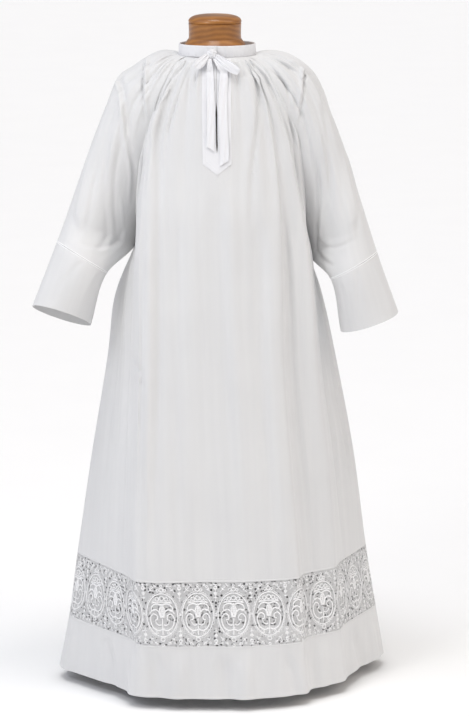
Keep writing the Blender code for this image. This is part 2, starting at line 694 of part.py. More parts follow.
def make_loop(name, root, tip, half_width, fullness, half_gap=0.0012):
    """A bow loop: a tape out from the knot, round its tip and back, seen flat from the front."""
    root, tip = np.array(root), np.array(tip)
    along = (tip - root) / np.linalg.norm(tip - root)
    across = np.cross(along, (0, -1, 0))
    across /= np.linalg.norm(across)
    out = np.cross(across, along)
    length = np.linalg.norm(tip - root)
    rows = []
    for t in (0.0, 0.25, 0.5, 0.75, 0.92, 1.0, 1.04, 1.0, 0.92, 0.75, 0.5, 0.25, 0.0):
        side = 1 if len(rows) < 6 else (0 if len(rows) == 6 else -1)
        open_by = half_gap + fullness * math.sin(math.pi * min(t, 1.0) ** 0.8) ** 0.7
        width = half_width * (0.62 + 0.38 * min(t * 1.6, 1.0))
        centre = root + along * length * t + out * side * open_by
        rows.append([centre - across * width, centre, centre + across * width])
    cloth(name, np.array(rows), thickness=CLOTH_WALL)


def make_tail(name, offset, start, end_drop, half_width, slant):
    """A tie end: out of the knot, then down over the placket to a slanting cut."""
    lift = 2 * CLOTH_WALL + 2 * SEAM_GAP + 0.0012
    rows = []
    top = LEVELS["collar"]
    drops = [0.030, 0.045, 0.065, 0.095, 0.130, 0.165]
    drops = [d for d in drops if d < end_drop - 0.02]
    for k in range(3):
        t = k / 2
        landing = front_at(offset, top - drops[0], lift + 0.004)
        centre = np.array(start) + (landing - np.array(start)) * t
        centre[1] -= 0.0045 * math.sin(math.pi * t)
        width = half_width * (0.55 + 0.30 * t)
        rows.append([centre + (side * width, 0, 0) for side in (-1, 0, 1)])
    for drop in drops[1:]:
        width = half_width * min(1.0, 0.85 + drop)
        rows.append([front_at(offset + side * width, top - drop, lift) for side in (-1, 0, 1)])
    rows.append([front_at(offset + side * half_width, top - end_drop - side * slant, lift)
                 for side in (-1, 0, 1)])
    cloth(name, np.array(rows), thickness=CLOTH_WALL)


def make_tie():
    make_knot()
    make_loop("tie_loop_left", (-0.0225, -0.0935, 1.4220), (-0.0410, -0.1130, 1.4010), 0.0095, 0.0030)
    make_loop("tie_loop_right", (0.0085, -0.0925, 1.4200), (0.0490, -0.1150, 1.3900), 0.0100, 0.0034)
    make_tail("tie_tail_left", -0.0128, (-0.0110, -0.0960, 1.4120), 0.188, 0.0085, 0.005)
    make_tail("tie_tail_right", 0.0148, (0.0015, -0.0960, 1.4120), 0.219, 0.0098, -0.006)


# ---- the dress form ----

def make_form():
    loft("torso", [oval(height, half_width, half_depth, 32)
                   for height, half_width, half_depth in TORSO], "linen")
    loft("neck_block", [oval(height, radius, radius, 40) for height, radius in NECK_BLOCK], "wood")
    torso_foot = TORSO[-1][0]
    loft("pole", [oval(height, POLE_RADIUS, POLE_RADIUS, 24)
                  for height in (FOOT_HEIGHT + SOCKET_HEIGHT + SEAM_GAP, torso_foot - SEAM_GAP)], "steel")
    socket = ((FOOT_HEIGHT + SEAM_GAP, SOCKET_RADIUS), (FOOT_HEIGHT + 0.6 * SOCKET_HEIGHT, SOCKET_RADIUS),
              (FOOT_HEIGHT + SOCKET_HEIGHT, 0.72 * SOCKET_RADIUS))
    loft("pole_socket", [oval(height, radius, radius, 24) for height, radius in socket], "steel")
    foot = ((0.0, FOOT_RADIUS), (0.6 * FOOT_HEIGHT, FOOT_RADIUS), (0.9 * FOOT_HEIGHT, 0.97 * FOOT_RADIUS),
            (FOOT_HEIGHT, 0.94 * FOOT_RADIUS))
    loft("stand_foot", [oval(height, radius, radius, 48) for height, radius in foot], "steel")


def main():
    for thing in list(bpy.data.objects):
        bpy.data.objects.remove(thing)
    front_shares = make_cloth_body()
    make_cuffs()
    make_neckband()
    make_placket(front_shares)
    make_tie()
    make_form()


main()
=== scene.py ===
import math

import bpy
import numpy as np
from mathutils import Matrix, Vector


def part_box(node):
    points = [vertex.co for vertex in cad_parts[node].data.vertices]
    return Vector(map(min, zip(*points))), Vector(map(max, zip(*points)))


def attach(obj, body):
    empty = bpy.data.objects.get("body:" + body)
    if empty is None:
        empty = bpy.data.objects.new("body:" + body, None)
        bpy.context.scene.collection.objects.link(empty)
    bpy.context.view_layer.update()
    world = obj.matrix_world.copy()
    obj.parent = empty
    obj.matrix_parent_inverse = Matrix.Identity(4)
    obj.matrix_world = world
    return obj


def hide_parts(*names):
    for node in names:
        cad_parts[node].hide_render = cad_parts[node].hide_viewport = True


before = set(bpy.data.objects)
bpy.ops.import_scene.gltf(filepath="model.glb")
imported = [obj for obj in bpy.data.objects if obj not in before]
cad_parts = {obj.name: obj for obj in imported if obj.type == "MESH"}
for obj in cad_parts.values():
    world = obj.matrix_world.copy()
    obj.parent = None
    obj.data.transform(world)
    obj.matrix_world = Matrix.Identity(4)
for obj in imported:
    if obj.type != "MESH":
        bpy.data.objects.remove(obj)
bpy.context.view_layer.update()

scene = bpy.context.scene

# The alb faces -Y, and left is the -X side, as seen from the front. Metres.
CLOTH = 0.0008
DOUBLED_WALL = 0.0011
HEM_WALL = 0.0010
TAPE_WALL = 0.0009
NET_WALL = 0.0004
GAP = 0.0002
SEAM_CLEARANCE = 0.0009
NECK_X = 0.005
HEM = float(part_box("hem_front")[0][2]) + 0.0006
BAND_TOP = float(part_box("neckband")[1][2])
BAND_FOOT = float(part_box("neckband")[0][2])
CUT_TOP = BAND_FOOT - 0.0008
LACE_TOP = float(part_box("lace_front")[1][2])
LACE_FOOT = float(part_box("lace_front")[0][2])
BAND_HALF_WIDTH = 0.083
BAND_HALF_DEPTH = 0.075
RAGLAN_ANGLE = 38.0
PLACKET_HALF = 0.031
SLIT_DROP = 0.196
PLACKET_CORNER = 0.220
PLACKET_POINT = 0.243

# ---------------------------------------------------------------- the cut of the alb

# Levels down the body and the height of each
LEVELS = {
    "collar": CUT_TOP,
    "puff": 1.408,
    "yoke": 1.375,
    "bust": 1.310,
    "chest": 1.240,
    "blade": 1.170,
    "gusset": 1.090,
    "underarm": 1.000,
    "waist": 0.880,
    "hip": 0.740,
    "thigh": 0.520,
    "lace_top": 0.295,
    "lace_foot": 0.145,
    "hem": HEM,
}

# Front: x and y of the left fold, the middle and the two pleats on the right, and how deep the
# cloth turns back behind each fold
FRONT = {
    "puff": ((-0.064, -0.066), (0.004, -0.088), (0.068, -0.070), (0.077, -0.063), 0.000),
    "yoke": ((-0.094, -0.090), (0.004, -0.108), (0.094, -0.092), (0.108, -0.084), 0.001),
    "bust": ((-0.122, -0.102), (0.004, -0.130), (0.112, -0.109), (0.138, -0.097), 0.002),
    "chest": ((-0.145, -0.113), (0.005, -0.148), (0.124, -0.121), (0.158, -0.106), 0.004),
    "blade": ((-0.151, -0.132), (0.006, -0.163), (0.134, -0.137), (0.172, -0.115), 0.009),
    "gusset": ((-0.160, -0.152), (0.008, -0.178), (0.141, -0.152), (0.188, -0.121), 0.016),
    "underarm": ((-0.164, -0.165), (0.010, -0.189), (0.144, -0.165), (0.203, -0.128), 0.022),
    "waist": ((-0.165, -0.180), (0.014, -0.202), (0.146, -0.180), (0.215, -0.135), 0.028),
    "hip": ((-0.167, -0.195), (0.020, -0.214), (0.150, -0.193), (0.225, -0.139), 0.030),
    "thigh": ((-0.173, -0.222), (0.029, -0.232), (0.167, -0.206), (0.250, -0.135), 0.031),
    "lace_top": ((-0.176, -0.241), (0.036, -0.247), (0.185, -0.217), (0.266, -0.133), 0.031),
    "lace_foot": ((-0.170, -0.238), (0.038, -0.255), (0.194, -0.219), (0.278, -0.133), 0.030),
    "hem": ((-0.184, -0.232), (0.040, -0.261), (0.205, -0.221), (0.290, -0.134), 0.030),
}

# Back: x and y of the left fold, the middle and the right fold, and the depth behind each fold
BACK = {
    "puff": ((-0.059, 0.072), (0.005, 0.087), (0.069, 0.071), 0.000),
    "yoke": ((-0.088, 0.095), (0.005, 0.106), (0.098, 0.094), 0.001),
    "bust": ((-0.108, 0.114), (0.006, 0.124), (0.120, 0.113), 0.003),
    "chest": ((-0.116, 0.126), (0.006, 0.138), (0.129, 0.124), 0.006),
    "blade": ((-0.121, 0.136), (0.007, 0.149), (0.134, 0.135), 0.010),
    "gusset": ((-0.127, 0.146), (0.008, 0.160), (0.140, 0.146), 0.014),
    "underarm": ((-0.134, 0.156), (0.010, 0.171), (0.147, 0.157), 0.018),
    "waist": ((-0.142, 0.168), (0.013, 0.184), (0.156, 0.171), 0.021),
    "hip": ((-0.151, 0.182), (0.017, 0.199), (0.168, 0.187), 0.024),
    "thigh": ((-0.165, 0.205), (0.023, 0.223), (0.186, 0.213), 0.027),
    "lace_top": ((-0.179, 0.226), (0.029, 0.246), (0.203, 0.236), 0.028),
    "lace_foot": ((-0.187, 0.238), (0.033, 0.258), (0.213, 0.249), 0.028),
    "hem": ((-0.195, 0.248), (0.036, 0.268), (0.222, 0.260), 0.028),
}

# Side seams below the arm: x and y on the left, then on the right
SIDE_SEAMS = {
    "waist": ((-0.223, 0.004), (0.238, 0.020)),
    "hip": ((-0.241, 0.008), (0.269, 0.034)),
    "thigh": ((-0.278, 0.008), (0.311, 0.050)),
    "lace_top": ((-0.312, 0.000), (0.342, 0.064)),
    "lace_foot": ((-0.333, -0.007), (0.367, 0.070)),
    "hem": ((-0.356, -0.015), (0.387, 0.073)),
}

# Sleeves along the raglan seams: front seam, top line, back seam and half the angle round, in degrees
RAGLAN = {
    "left": {
        "puff": ((-0.081, -0.058, 1.406), (-0.097, 0.000, 1.4225), (-0.082, 0.060, 1.408), 46),
        "yoke": ((-0.104, -0.080, 1.374), (-0.135, 0.000, 1.4150), (-0.105, 0.084, 1.378), 60),
        "bust": ((-0.131, -0.090, 1.314), (-0.175, -0.002, 1.3895), (-0.129, 0.101, 1.316), 76),
        "chest": ((-0.151, -0.086, 1.250), (-0.212, -0.006, 1.3640), (-0.146, 0.105, 1.255), 92),
        "blade": ((-0.162, -0.080, 1.175), (-0.240, -0.015, 1.3000), (-0.157, 0.098, 1.178), 108),
        "gusset": ((-0.172, -0.056, 1.090), (-0.274, -0.030, 1.2130), (-0.168, 0.065, 1.092), 134),
    },
    "right": {
        "puff": ((0.091, -0.056, 1.406), (0.107, 0.000, 1.4215), (0.092, 0.058, 1.408), 46),
        "yoke": ((0.119, -0.076, 1.378), (0.153, 0.000, 1.4180), (0.117, 0.082, 1.380), 60),
        "bust": ((0.153, -0.085, 1.316), (0.196, -0.002, 1.3930), (0.142, 0.099, 1.318), 76),
        "chest": ((0.179, -0.080, 1.250), (0.225, -0.005, 1.3580), (0.160, 0.103, 1.255), 92),
        "blade": ((0.191, -0.074, 1.172), (0.249, -0.010, 1.3000), (0.170, 0.096, 1.176), 108),
        "gusset": ((0.200, -0.050, 1.078), (0.282, -0.018, 1.2160), (0.190, 0.060, 1.082), 134),
    },
}

# Rings past the arm: upper point, lower point and half depth
ARMS = {
    "left": {
        "underarm": ((-0.317, -0.046, 1.091), (-0.178, -0.010, 0.995), (0.000, 0.080, 0.000)),
        "cuff_seam": ((-0.344, -0.085, 1.016), (-0.235, -0.105, 0.951), (0.000, 0.062, -0.012)),
        "cuff_end": ((-0.398, -0.115, 0.878), (-0.272, -0.105, 0.836), (0.000, 0.060, -0.022)),
    },
    "right": {
        "underarm": ((0.323, -0.026, 1.088), (0.207, -0.010, 0.975), (0.000, 0.078, 0.000)),
        "cuff_seam": ((0.355, -0.050, 0.989), (0.252, -0.082, 0.935), (0.000, 0.060, -0.004)),
        "cuff_end": ((0.402, -0.078, 0.858), (0.276, -0.086, 0.820), (0.006, 0.056, 0.004)),
    },
}
ARM_STATIONS = {"gusset": -1.0, "underarm": 0.0, "cuff_seam": 1.0, "cuff_end": 2.4}

FRONT_SHARES = (0, 0.03, 0.17, 0.20, 0.41, 0.49, 0.57, 0.69, 0.72, 0.80, 0.83, 0.97, 1)
FRONT_ANGLES = (-142, -141, -137, -135.5, None, None, None, -50, -48.5, -43, -42, -38.7, -38)
BACK_SHARES = (0, 0.03, 0.17, 0.20, 0.50, 0.80, 0.83, 0.97, 1)
BACK_ANGLES = (142, 141, 131.5, 130, 90, 50, 48.5, 39, 38)
TURN_SHARE, TURN_REACH, TURN_IN = 0.20, 0.022, 0.25
SEAM_LEVELS = ("collar", "puff", "yoke", "bust", "chest", "blade", "gusset", "underarm")
ALL_LEVELS = tuple(LEVELS)


def fade(height, high, low):
    """0 above `high`, 1 below `low`, smoothly between."""
    t = np.clip((high - np.asarray(height, float)) / (high - low), 0.0, 1.0)
    return t * t * (3 - 2 * t)


def unit(vectors):
    """The same vectors, each of length 1."""
    return vectors / np.maximum(np.linalg.norm(vectors, axis=-1, keepdims=True), 1e-9)


def run_along(path):
    """How far along a path each of its points is."""
    return np.concatenate(([0.0], np.cumsum(np.linalg.norm(np.diff(path, axis=0), axis=1))))


def spline(stations, values, at):
    """Smooth curve through values at rising stations, read at each of `at`."""
    stations = np.asarray(stations, float)
    values = np.asarray(values, float)
    at = np.asarray(at, float)
    slopes = np.gradient(values, stations, axis=0)
    first = np.clip(np.searchsorted(stations, at, side="right") - 1, 0, len(stations) - 2)
    width = (stations[first + 1] - stations[first])[:, None]
    t = ((at - stations[first])[:, None]) / width
    start, end = values[first], values[first + 1]
    leave, arrive = slopes[first] * width, slopes[first + 1] * width
    return (start * (1 + 2 * t) * (1 - t) ** 2 + leave * t * (1 - t) ** 2
            + end * t * t * (3 - 2 * t) + arrive * t * t * (t - 1))


def straight(stations, values, at):
    """Straight runs between values at rising stations."""
    values = np.asarray(values, float)
    return np.stack([np.interp(at, stations, values[:, k]) for k in range(values.shape[1])], axis=1)


def down(levels, table, height):
    """A table's columns at given heights, smoothly from one level to the next."""
    drops = [-LEVELS[name] for name in levels]
    steps = np.arange(len(levels))
    at = np.interp(-np.asarray(height, float), drops, steps)
    return spline(steps, [table[name] for name in levels], at)


def on_band(angle, x=None):
    """A point on the neckband's oval, by its angle in degrees or, on the front, by its x."""
    if x is not None:
        angle = -math.degrees(math.acos((x - NECK_X) / BAND_HALF_WIDTH))
    turn = math.radians(angle)
    return np.array((NECK_X + BAND_HALF_WIDTH * math.cos(turn), BAND_HALF_DEPTH * math.sin(turn),
                     CUT_TOP))


def sleeve_frames(seams, arm, side):
    """Centre, upward reach, depth and half angle of the sleeve's ring at each named level."""
    start = on_band(-90 + side * (90 - RAGLAN_ANGLE))
    end = start * (1, -1, 1)
    crown = on_band(90 - side * 90)
    rows = {"collar": (start, crown, end, RAGLAN_ANGLE)}
    rows.update(seams)
    frames = {}
    for name, (front, top, back, half_angle) in rows.items():
        front, top, back = np.array(front), np.array(top), np.array(back)
        half = math.radians(half_angle)
        reach = (top - (front + back) / 2) / (1 - math.cos(half))
        depth = (back - front) / (2 * math.sin(half))
        frames[name] = np.concatenate((top - reach, reach, depth, [half]))
    for name, (top, low, depth) in arm.items():
        top, low = np.array(top), np.array(low)
        frames[name] = np.concatenate(((top + low) / 2, (top - low) / 2, depth, [math.pi]))
    return frames


FRAMES = {"left": sleeve_frames(RAGLAN["left"], ARMS["left"], -1),
          "right": sleeve_frames(RAGLAN["right"], ARMS["right"], 1)}


def ring_points(ring, u, pinch=0.0):
    """Points round one sleeve ring, from its front seam over the top to its back seam."""
    centre, reach, depth, half = ring[0:3], ring[3:6], ring[6:9], ring[9]
    turn = (np.asarray(u) * 2 - 1) * half
    narrow = 1 - pinch + pinch * np.cos(turn / 2) / math.cos(math.radians(45))
    return (centre + np.cos(turn)[:, None] * reach
            + (np.sin(turn) * narrow)[:, None] * depth)


def seam_pinch(height):
    """How much the sleeve narrows at its seams, more towards the underarm."""
    return 0.8 * float(fade(height, LEVELS["gusset"], LEVELS["underarm"]))


def seam_frame(side, height):
    """The sleeve's ring where it meets the raglan seam at a height."""
    return down(SEAM_LEVELS, FRAMES[side], [height])[0]


def arm_frame(side, station):
    """A whole ring past the arm; the cuff seam is station 1."""
    stations = list(ARM_STATIONS.values())
    ring = spline(stations, [FRAMES[side][name] for name in ARM_STATIONS], [station])[0]
    ring[9] = math.pi
    return ring


def edge_point(side, height, facing):
    """A panel's edge: on the raglan seam down to the arm, then on the side seam."""
    if height >= LEVELS["underarm"]:
        share = 0.0 if facing < 0 else 1.0
        return ring_points(seam_frame(side, height), [share], seam_pinch(height))[0]
    levels = ALL_LEVELS[ALL_LEVELS.index("underarm"):]
    column = 0 if side == "left" else 1
    table = {name: np.array((*SIDE_SEAMS[name][column], LEVELS[name])) for name in levels[1:]}
    table["underarm"] = np.array(ARMS[side]["underarm"][1])
    return down(levels, table, [height])[0]


def body_guides(height, facing):
    """The guide points across one row of the front (facing -1) or the back (facing 1)."""
    left, right = edge_point("left", height, facing), edge_point("right", height, facing)
    turned = float(fade(height, LEVELS["underarm"] + 0.02, LEVELS["underarm"] - 0.05))
    table = FRONT if facing < 0 else BACK
    levels = ALL_LEVELS[1:]
    flat = {name: np.concatenate([np.ravel(cell) for cell in table[name]]) for name in levels}
    row = down(levels, flat, [height])[0]
    depth = row[-1]
    folds = [np.array((row[k], row[k + 1], height)) for k in range(0, len(row) - 1, 2)]
    back_turn = np.array((0.0, -facing * depth, 0.0))
    if facing < 0:
        fold, middle, pleat_1, pleat_2 = folds
        wide = down(levels, flat, [max(height, LEVELS["blade"])])[0]
        share_left = PLACKET_HALF / (wide[2] - wide[0])
        share_right = PLACKET_HALF / (wide[4] - wide[2])
        edge_left = middle + (fold - middle) * (share_left, share_left ** 2, 0)
        edge_right = middle + (pleat_1 - middle) * (share_right, share_right ** 2, 0)
        inner_left = fold + back_turn + (-0.35 * depth, 0, 0)
        inner_right = pleat_2 + back_turn + (0.2 * depth, 0, 0)
        between = [inner_left, fold, edge_left, middle, edge_right, pleat_1,
                   pleat_1 + back_turn + (0.2 * depth, 0, 0), pleat_2, inner_right]
    else:
        fold_left, middle, fold_right = folds
        inner_left = fold_left + back_turn + (-0.2 * depth, 0, 0)
        inner_right = fold_right + back_turn + (0.2 * depth, 0, 0)
        between = [inner_left, fold_left, middle, fold_right, inner_right]
    ends = []
    for edge, inner, side in ((left, inner_left, 1), (right, inner_right, -1)):
        plain = (inner - edge) * TURN_SHARE
        round_in = np.array((side * TURN_IN, facing, 0.0)) * TURN_REACH
        ends.append(edge + plain + (round_in - plain) * turned)
    return [left, ends[0], *between, ends[1], right]


def collar_guides(facing):
    """The guide points of the row that is sewn to the neckband."""
    if facing > 0:
        return [on_band(angle) for angle in BACK_ANGLES]
    middle = FRONT["puff"][1][0]
    placket = {4: middle - PLACKET_HALF, 5: middle, 6: middle + PLACKET_HALF}
    return [on_band(angle, placket.get(k)) for k, angle in enumerate(FRONT_ANGLES)]


def panel(heights, shares, facing):
    """The smooth surface of the front or the back, a row of points for each height."""
    stops = FRONT_SHARES if facing < 0 else BACK_SHARES
    rows = []
    collar = np.array(collar_guides(facing))
    puff_height = LEVELS["puff"]
    for height in heights:
        guides = np.array(body_guides(min(height, puff_height), facing))
        if height > puff_height:
            t = (CUT_TOP - height) / (CUT_TOP - puff_height)
            guides = collar + (guides - collar) * (1 - (1 - t) ** 1.5)
        crisp = 0.62 * fade(height, 1.30, 1.05)
        curve = spline(stops, guides, shares)
        rows.append(curve + (straight(stops, guides, shares) - curve) * crisp)
    return np.array(rows)


def normals(grid, outward):
    """The way out of a surface at each of its points."""
    return outward * unit(np.cross(np.gradient(grid, axis=1), np.gradient(grid, axis=0)))


def soften(grid, rounds):
    """Round off crisp folds across the rows; the first and last columns stay."""
    for _ in range(rounds):
        inner = grid[:, 1:-1] * 0.5 + (grid[:, :-2] + grid[:, 2:]) * 0.25
        grid = np.concatenate((grid[:, :1], inner, grid[:, -1:]), axis=1)
    return grid


# ---------------------------------------------------------------- folds, gathers and creases


def run_across(grid):
    """How far across its row each point of a surface is."""
    steps = np.linalg.norm(np.diff(grid, axis=1), axis=2)
    return np.concatenate((np.zeros((len(grid), 1)), np.cumsum(steps, axis=1)), axis=1)


# Share of its full depth that a fold has at the band
AT_BAND = 0.55


def crease(grid, heights, shares, rows):
    """How far each point moves out for a table of folds and creases.

    Each row of the table runs from one share and height to another: start share, start height, end
    share, end height, half width at the start and at the end, and how far it stands out (troughs
    are negative). Widths and depths are in millimetres.
    """
    run = run_across(grid)
    heights = np.asarray(heights, float)
    out = np.zeros(run.shape)
    for share_0, height_0, share_1, height_1, width_0, width_1, depth in rows:
        t = (height_0 - heights) / (height_0 - height_1)
        reach = np.nonzero((t >= 0) & (t <= 1))[0]
        if not len(reach):
            continue
        t = t[reach]
        share = share_0 + (share_1 - share_0) * t
        at = np.array([np.interp(s, shares, run[i]) for s, i in zip(share, reach)])
        width = (width_0 + (width_1 - width_0) * t) / 1000
        start = AT_BAND if height_0 > LEVELS["puff"] else 0.0
        swell = (start + (1 - start) * np.minimum(t / 0.10, 1.0)) * np.cos(t * math.pi / 2) ** 0.8
        offset = (run[reach] - at[:, None]) / width[:, None]
        out[reach] += depth / 1000 * swell[:, None] * np.exp(-offset ** 2)
    return out


def drawn_folds(grid, heights, shares, outward, table):
    """Move a surface in and out along a table of folds drawn on it.

    Each row: the (share, height) points that the fold runs through, its half width, how far it
    stands out (a trough is negative) and the height of the soft lip on its right (positive width)
    or its left, all in millimetres but the points.
    """
    points = grid.reshape(-1, 3)
    out = np.zeros(len(points))
    normal = normals(grid, outward)
    for marks, wide, depth, lip in table:
        marks = np.array(marks, float)
        steps = 8 * (len(marks) - 1)
        at = spline(np.arange(len(marks)), marks, np.linspace(0, len(marks) - 1, steps + 1))
        path = surface_at(grid, shares, heights, at[:, 0], at[:, 1], outward, np.zeros(len(at)))
        half = abs(wide) / 1000
        reach = 6 * half
        near = np.nonzero(np.all((points > path.min(axis=0) - reach)
                                 & (points < path.max(axis=0) + reach), axis=1))[0]
        some = points[near]
        best = np.full(len(near), 1e9)
        run = np.zeros(len(near))
        side = np.zeros(len(near))
        outs = surface_at(grid, shares, heights, at[:, 0], at[:, 1], outward,
                          np.ones(len(at))) - path
        for k in range(steps):
            ahead = path[k + 1] - path[k]
            t = np.clip((some - path[k]) @ ahead / max(ahead @ ahead, 1e-12), 0, 1)
            gap = some - path[k] - t[:, None] * ahead
            far = np.linalg.norm(gap, axis=1)
            closer = far < best
            best[closer] = far[closer]
            run[closer] = ((k + t) / steps)[closer]
            side[closer] = np.sign(gap @ np.cross(outs[k], ahead))[closer]
        fading = np.minimum(run / 0.12, 1.0) * np.clip((1 - run) / 0.35, 0, 1) ** 0.7
        sway = 1 + 0.25 * np.sin(run * 9 + wide)
        trough = depth / 1000 * np.exp(-(best / half) ** 2)
        beside = (best * side * math.copysign(1, wide) - 1.9 * half) / (1.5 * half)
        out[near] += fading * sway * (trough + lip / 1000 * np.exp(-beside ** 2))
    out = held(out.reshape(grid.shape[:2]), heights) * edge_mask(grid, 0.004)
    return grid + normal * out[..., None]


def fine_gathers(count, low, high, seed):
    """Uneven small troughs under the band, between two shares: rows for `crease`."""
    draw = np.random.default_rng(seed)
    rows = []
    for k in range(count):
        share = low + (high - low) * (k + 0.5 + draw.uniform(-0.28, 0.28)) / count
        drop = draw.uniform(0.030, 0.10) if k % 3 else draw.uniform(0.11, 0.24)
        size = -draw.uniform(1.4, 2.6) * 1.5
        rows.append((share, CUT_TOP, share + draw.uniform(-0.012, 0.012), CUT_TOP - drop,
                     draw.uniform(1.5, 2.2), draw.uniform(3.5, 7.5), size))
    return rows


# Folds of the front: start share and height, end share and height, half widths and size, see crease
FRONT_FOLDS = (
    (0.045, 1.412, 0.060, 1.070, 3.5, 9.0, -6.0),
    (0.105, 1.412, 0.120, 1.180, 3.5, 8.0, 4.0),
    (0.155, 1.412, 0.160, 1.110, 3.0, 9.0, -4.0),
    (0.215, 1.412, 0.225, 1.190, 3.5, 11.0, 3.6),
    (0.255, 1.412, 0.265, 1.090, 3.5, 13.0, -4.6),
    (0.305, 1.412, 0.310, 1.150, 3.5, 13.0, 3.2),
    (0.345, 1.412, 0.345, 1.060, 3.5, 15.0, -4.2),
    (0.385, 1.412, 0.380, 1.200, 3.0, 9.0, 2.6),
    (0.600, 1.412, 0.605, 1.170, 3.0, 11.0, -3.4),
    (0.630, 1.412, 0.640, 1.060, 3.5, 15.0, 4.0),
    (0.660, 1.412, 0.665, 1.040, 3.5, 15.0, -5.4),
    (0.705, 1.412, 0.705, 1.160, 3.0, 10.0, 3.4),
    (0.745, 1.412, 0.745, 1.080, 3.5, 12.0, -4.8),
    (0.790, 1.412, 0.795, 1.160, 3.0, 9.0, 4.2),
    (0.845, 1.412, 0.860, 1.080, 3.5, 9.0, -5.0),
    (0.905, 1.412, 0.915, 1.140, 3.5, 8.0, 3.6),
    (0.950, 1.412, 0.955, 1.080, 3.5, 7.0, -4.6),
    # Long soft folds of the skirt
    (0.240, 1.060, 0.225, 0.300, 6.0, 10.0, 3.0),
    (0.300, 1.180, 0.275, 0.300, 10.0, 26.0, -3.0),
    (0.380, 1.080, 0.370, 0.420, 10.0, 22.0, 2.6),
    (0.455, 1.140, 0.450, 0.330, 12.0, 30.0, -2.6),
    (0.560, 1.150, 0.545, 0.300, 12.0, 30.0, 3.0),
    (0.625, 1.120, 0.630, 0.310, 10.0, 22.0, -4.0),
    (0.755, 1.100, 0.760, 0.300, 8.0, 16.0, -4.0),
    (0.880, 0.960, 0.875, 0.300, 9.0, 22.0, -5.0),
    (0.930, 0.900, 0.925, 0.380, 8.0, 16.0, 3.6),
    (0.075, 0.940, 0.080, 0.300, 9.0, 20.0, -5.0),
    (0.125, 0.900, 0.120, 0.300, 8.0, 20.0, 4.6),
    # Short creases where the cloth was folded
    (0.205, 0.735, 0.245, 0.705, 3.0, 4.0, -2.2),
    (0.212, 0.700, 0.262, 0.690, 3.0, 3.0, 1.6),
)
BACK_FOLDS = (
    (0.060, 1.412, 0.070, 1.070, 3.5, 9.0, -5.6),
    (0.130, 1.412, 0.135, 1.180, 3.5, 10.0, 4.2),
    (0.215, 1.412, 0.225, 1.060, 3.5, 13.0, -4.8),
    (0.290, 1.412, 0.300, 1.140, 3.5, 13.0, 3.8),
    (0.365, 1.412, 0.365, 1.020, 3.5, 15.0, -4.6),
    (0.440, 1.412, 0.440, 1.160, 3.5, 12.0, 3.8),
    (0.520, 1.412, 0.515, 1.040, 3.5, 15.0, -4.8),
    (0.595, 1.412, 0.600, 1.170, 3.5, 12.0, 3.6),
    (0.665, 1.412, 0.670, 1.050, 3.5, 14.0, -4.6),
    (0.740, 1.412, 0.745, 1.150, 3.5, 12.0, 4.0),
    (0.815, 1.412, 0.820, 1.080, 3.5, 11.0, -5.0),
    (0.880, 1.412, 0.880, 1.190, 3.5, 8.0, 3.6),
    (0.945, 1.412, 0.945, 1.080, 3.5, 8.0, -5.0),
    (0.270, 1.130, 0.280, 0.300, 12.0, 34.0, -8.0),
    (0.370, 1.100, 0.365, 0.300, 12.0, 32.0, 7.0),
    (0.450, 1.160, 0.455, 0.310, 12.0, 34.0, -7.0),
    (0.560, 1.120, 0.550, 0.300, 12.0, 32.0, 7.0),
    (0.660, 1.140, 0.655, 0.300, 12.0, 34.0, -8.0),
    (0.740, 1.080, 0.745, 0.320, 10.0, 26.0, 5.0),
    (0.100, 0.950, 0.095, 0.300, 10.0, 24.0, -6.0),
    (0.900, 0.930, 0.905, 0.310, 10.0, 24.0, -6.0),
)
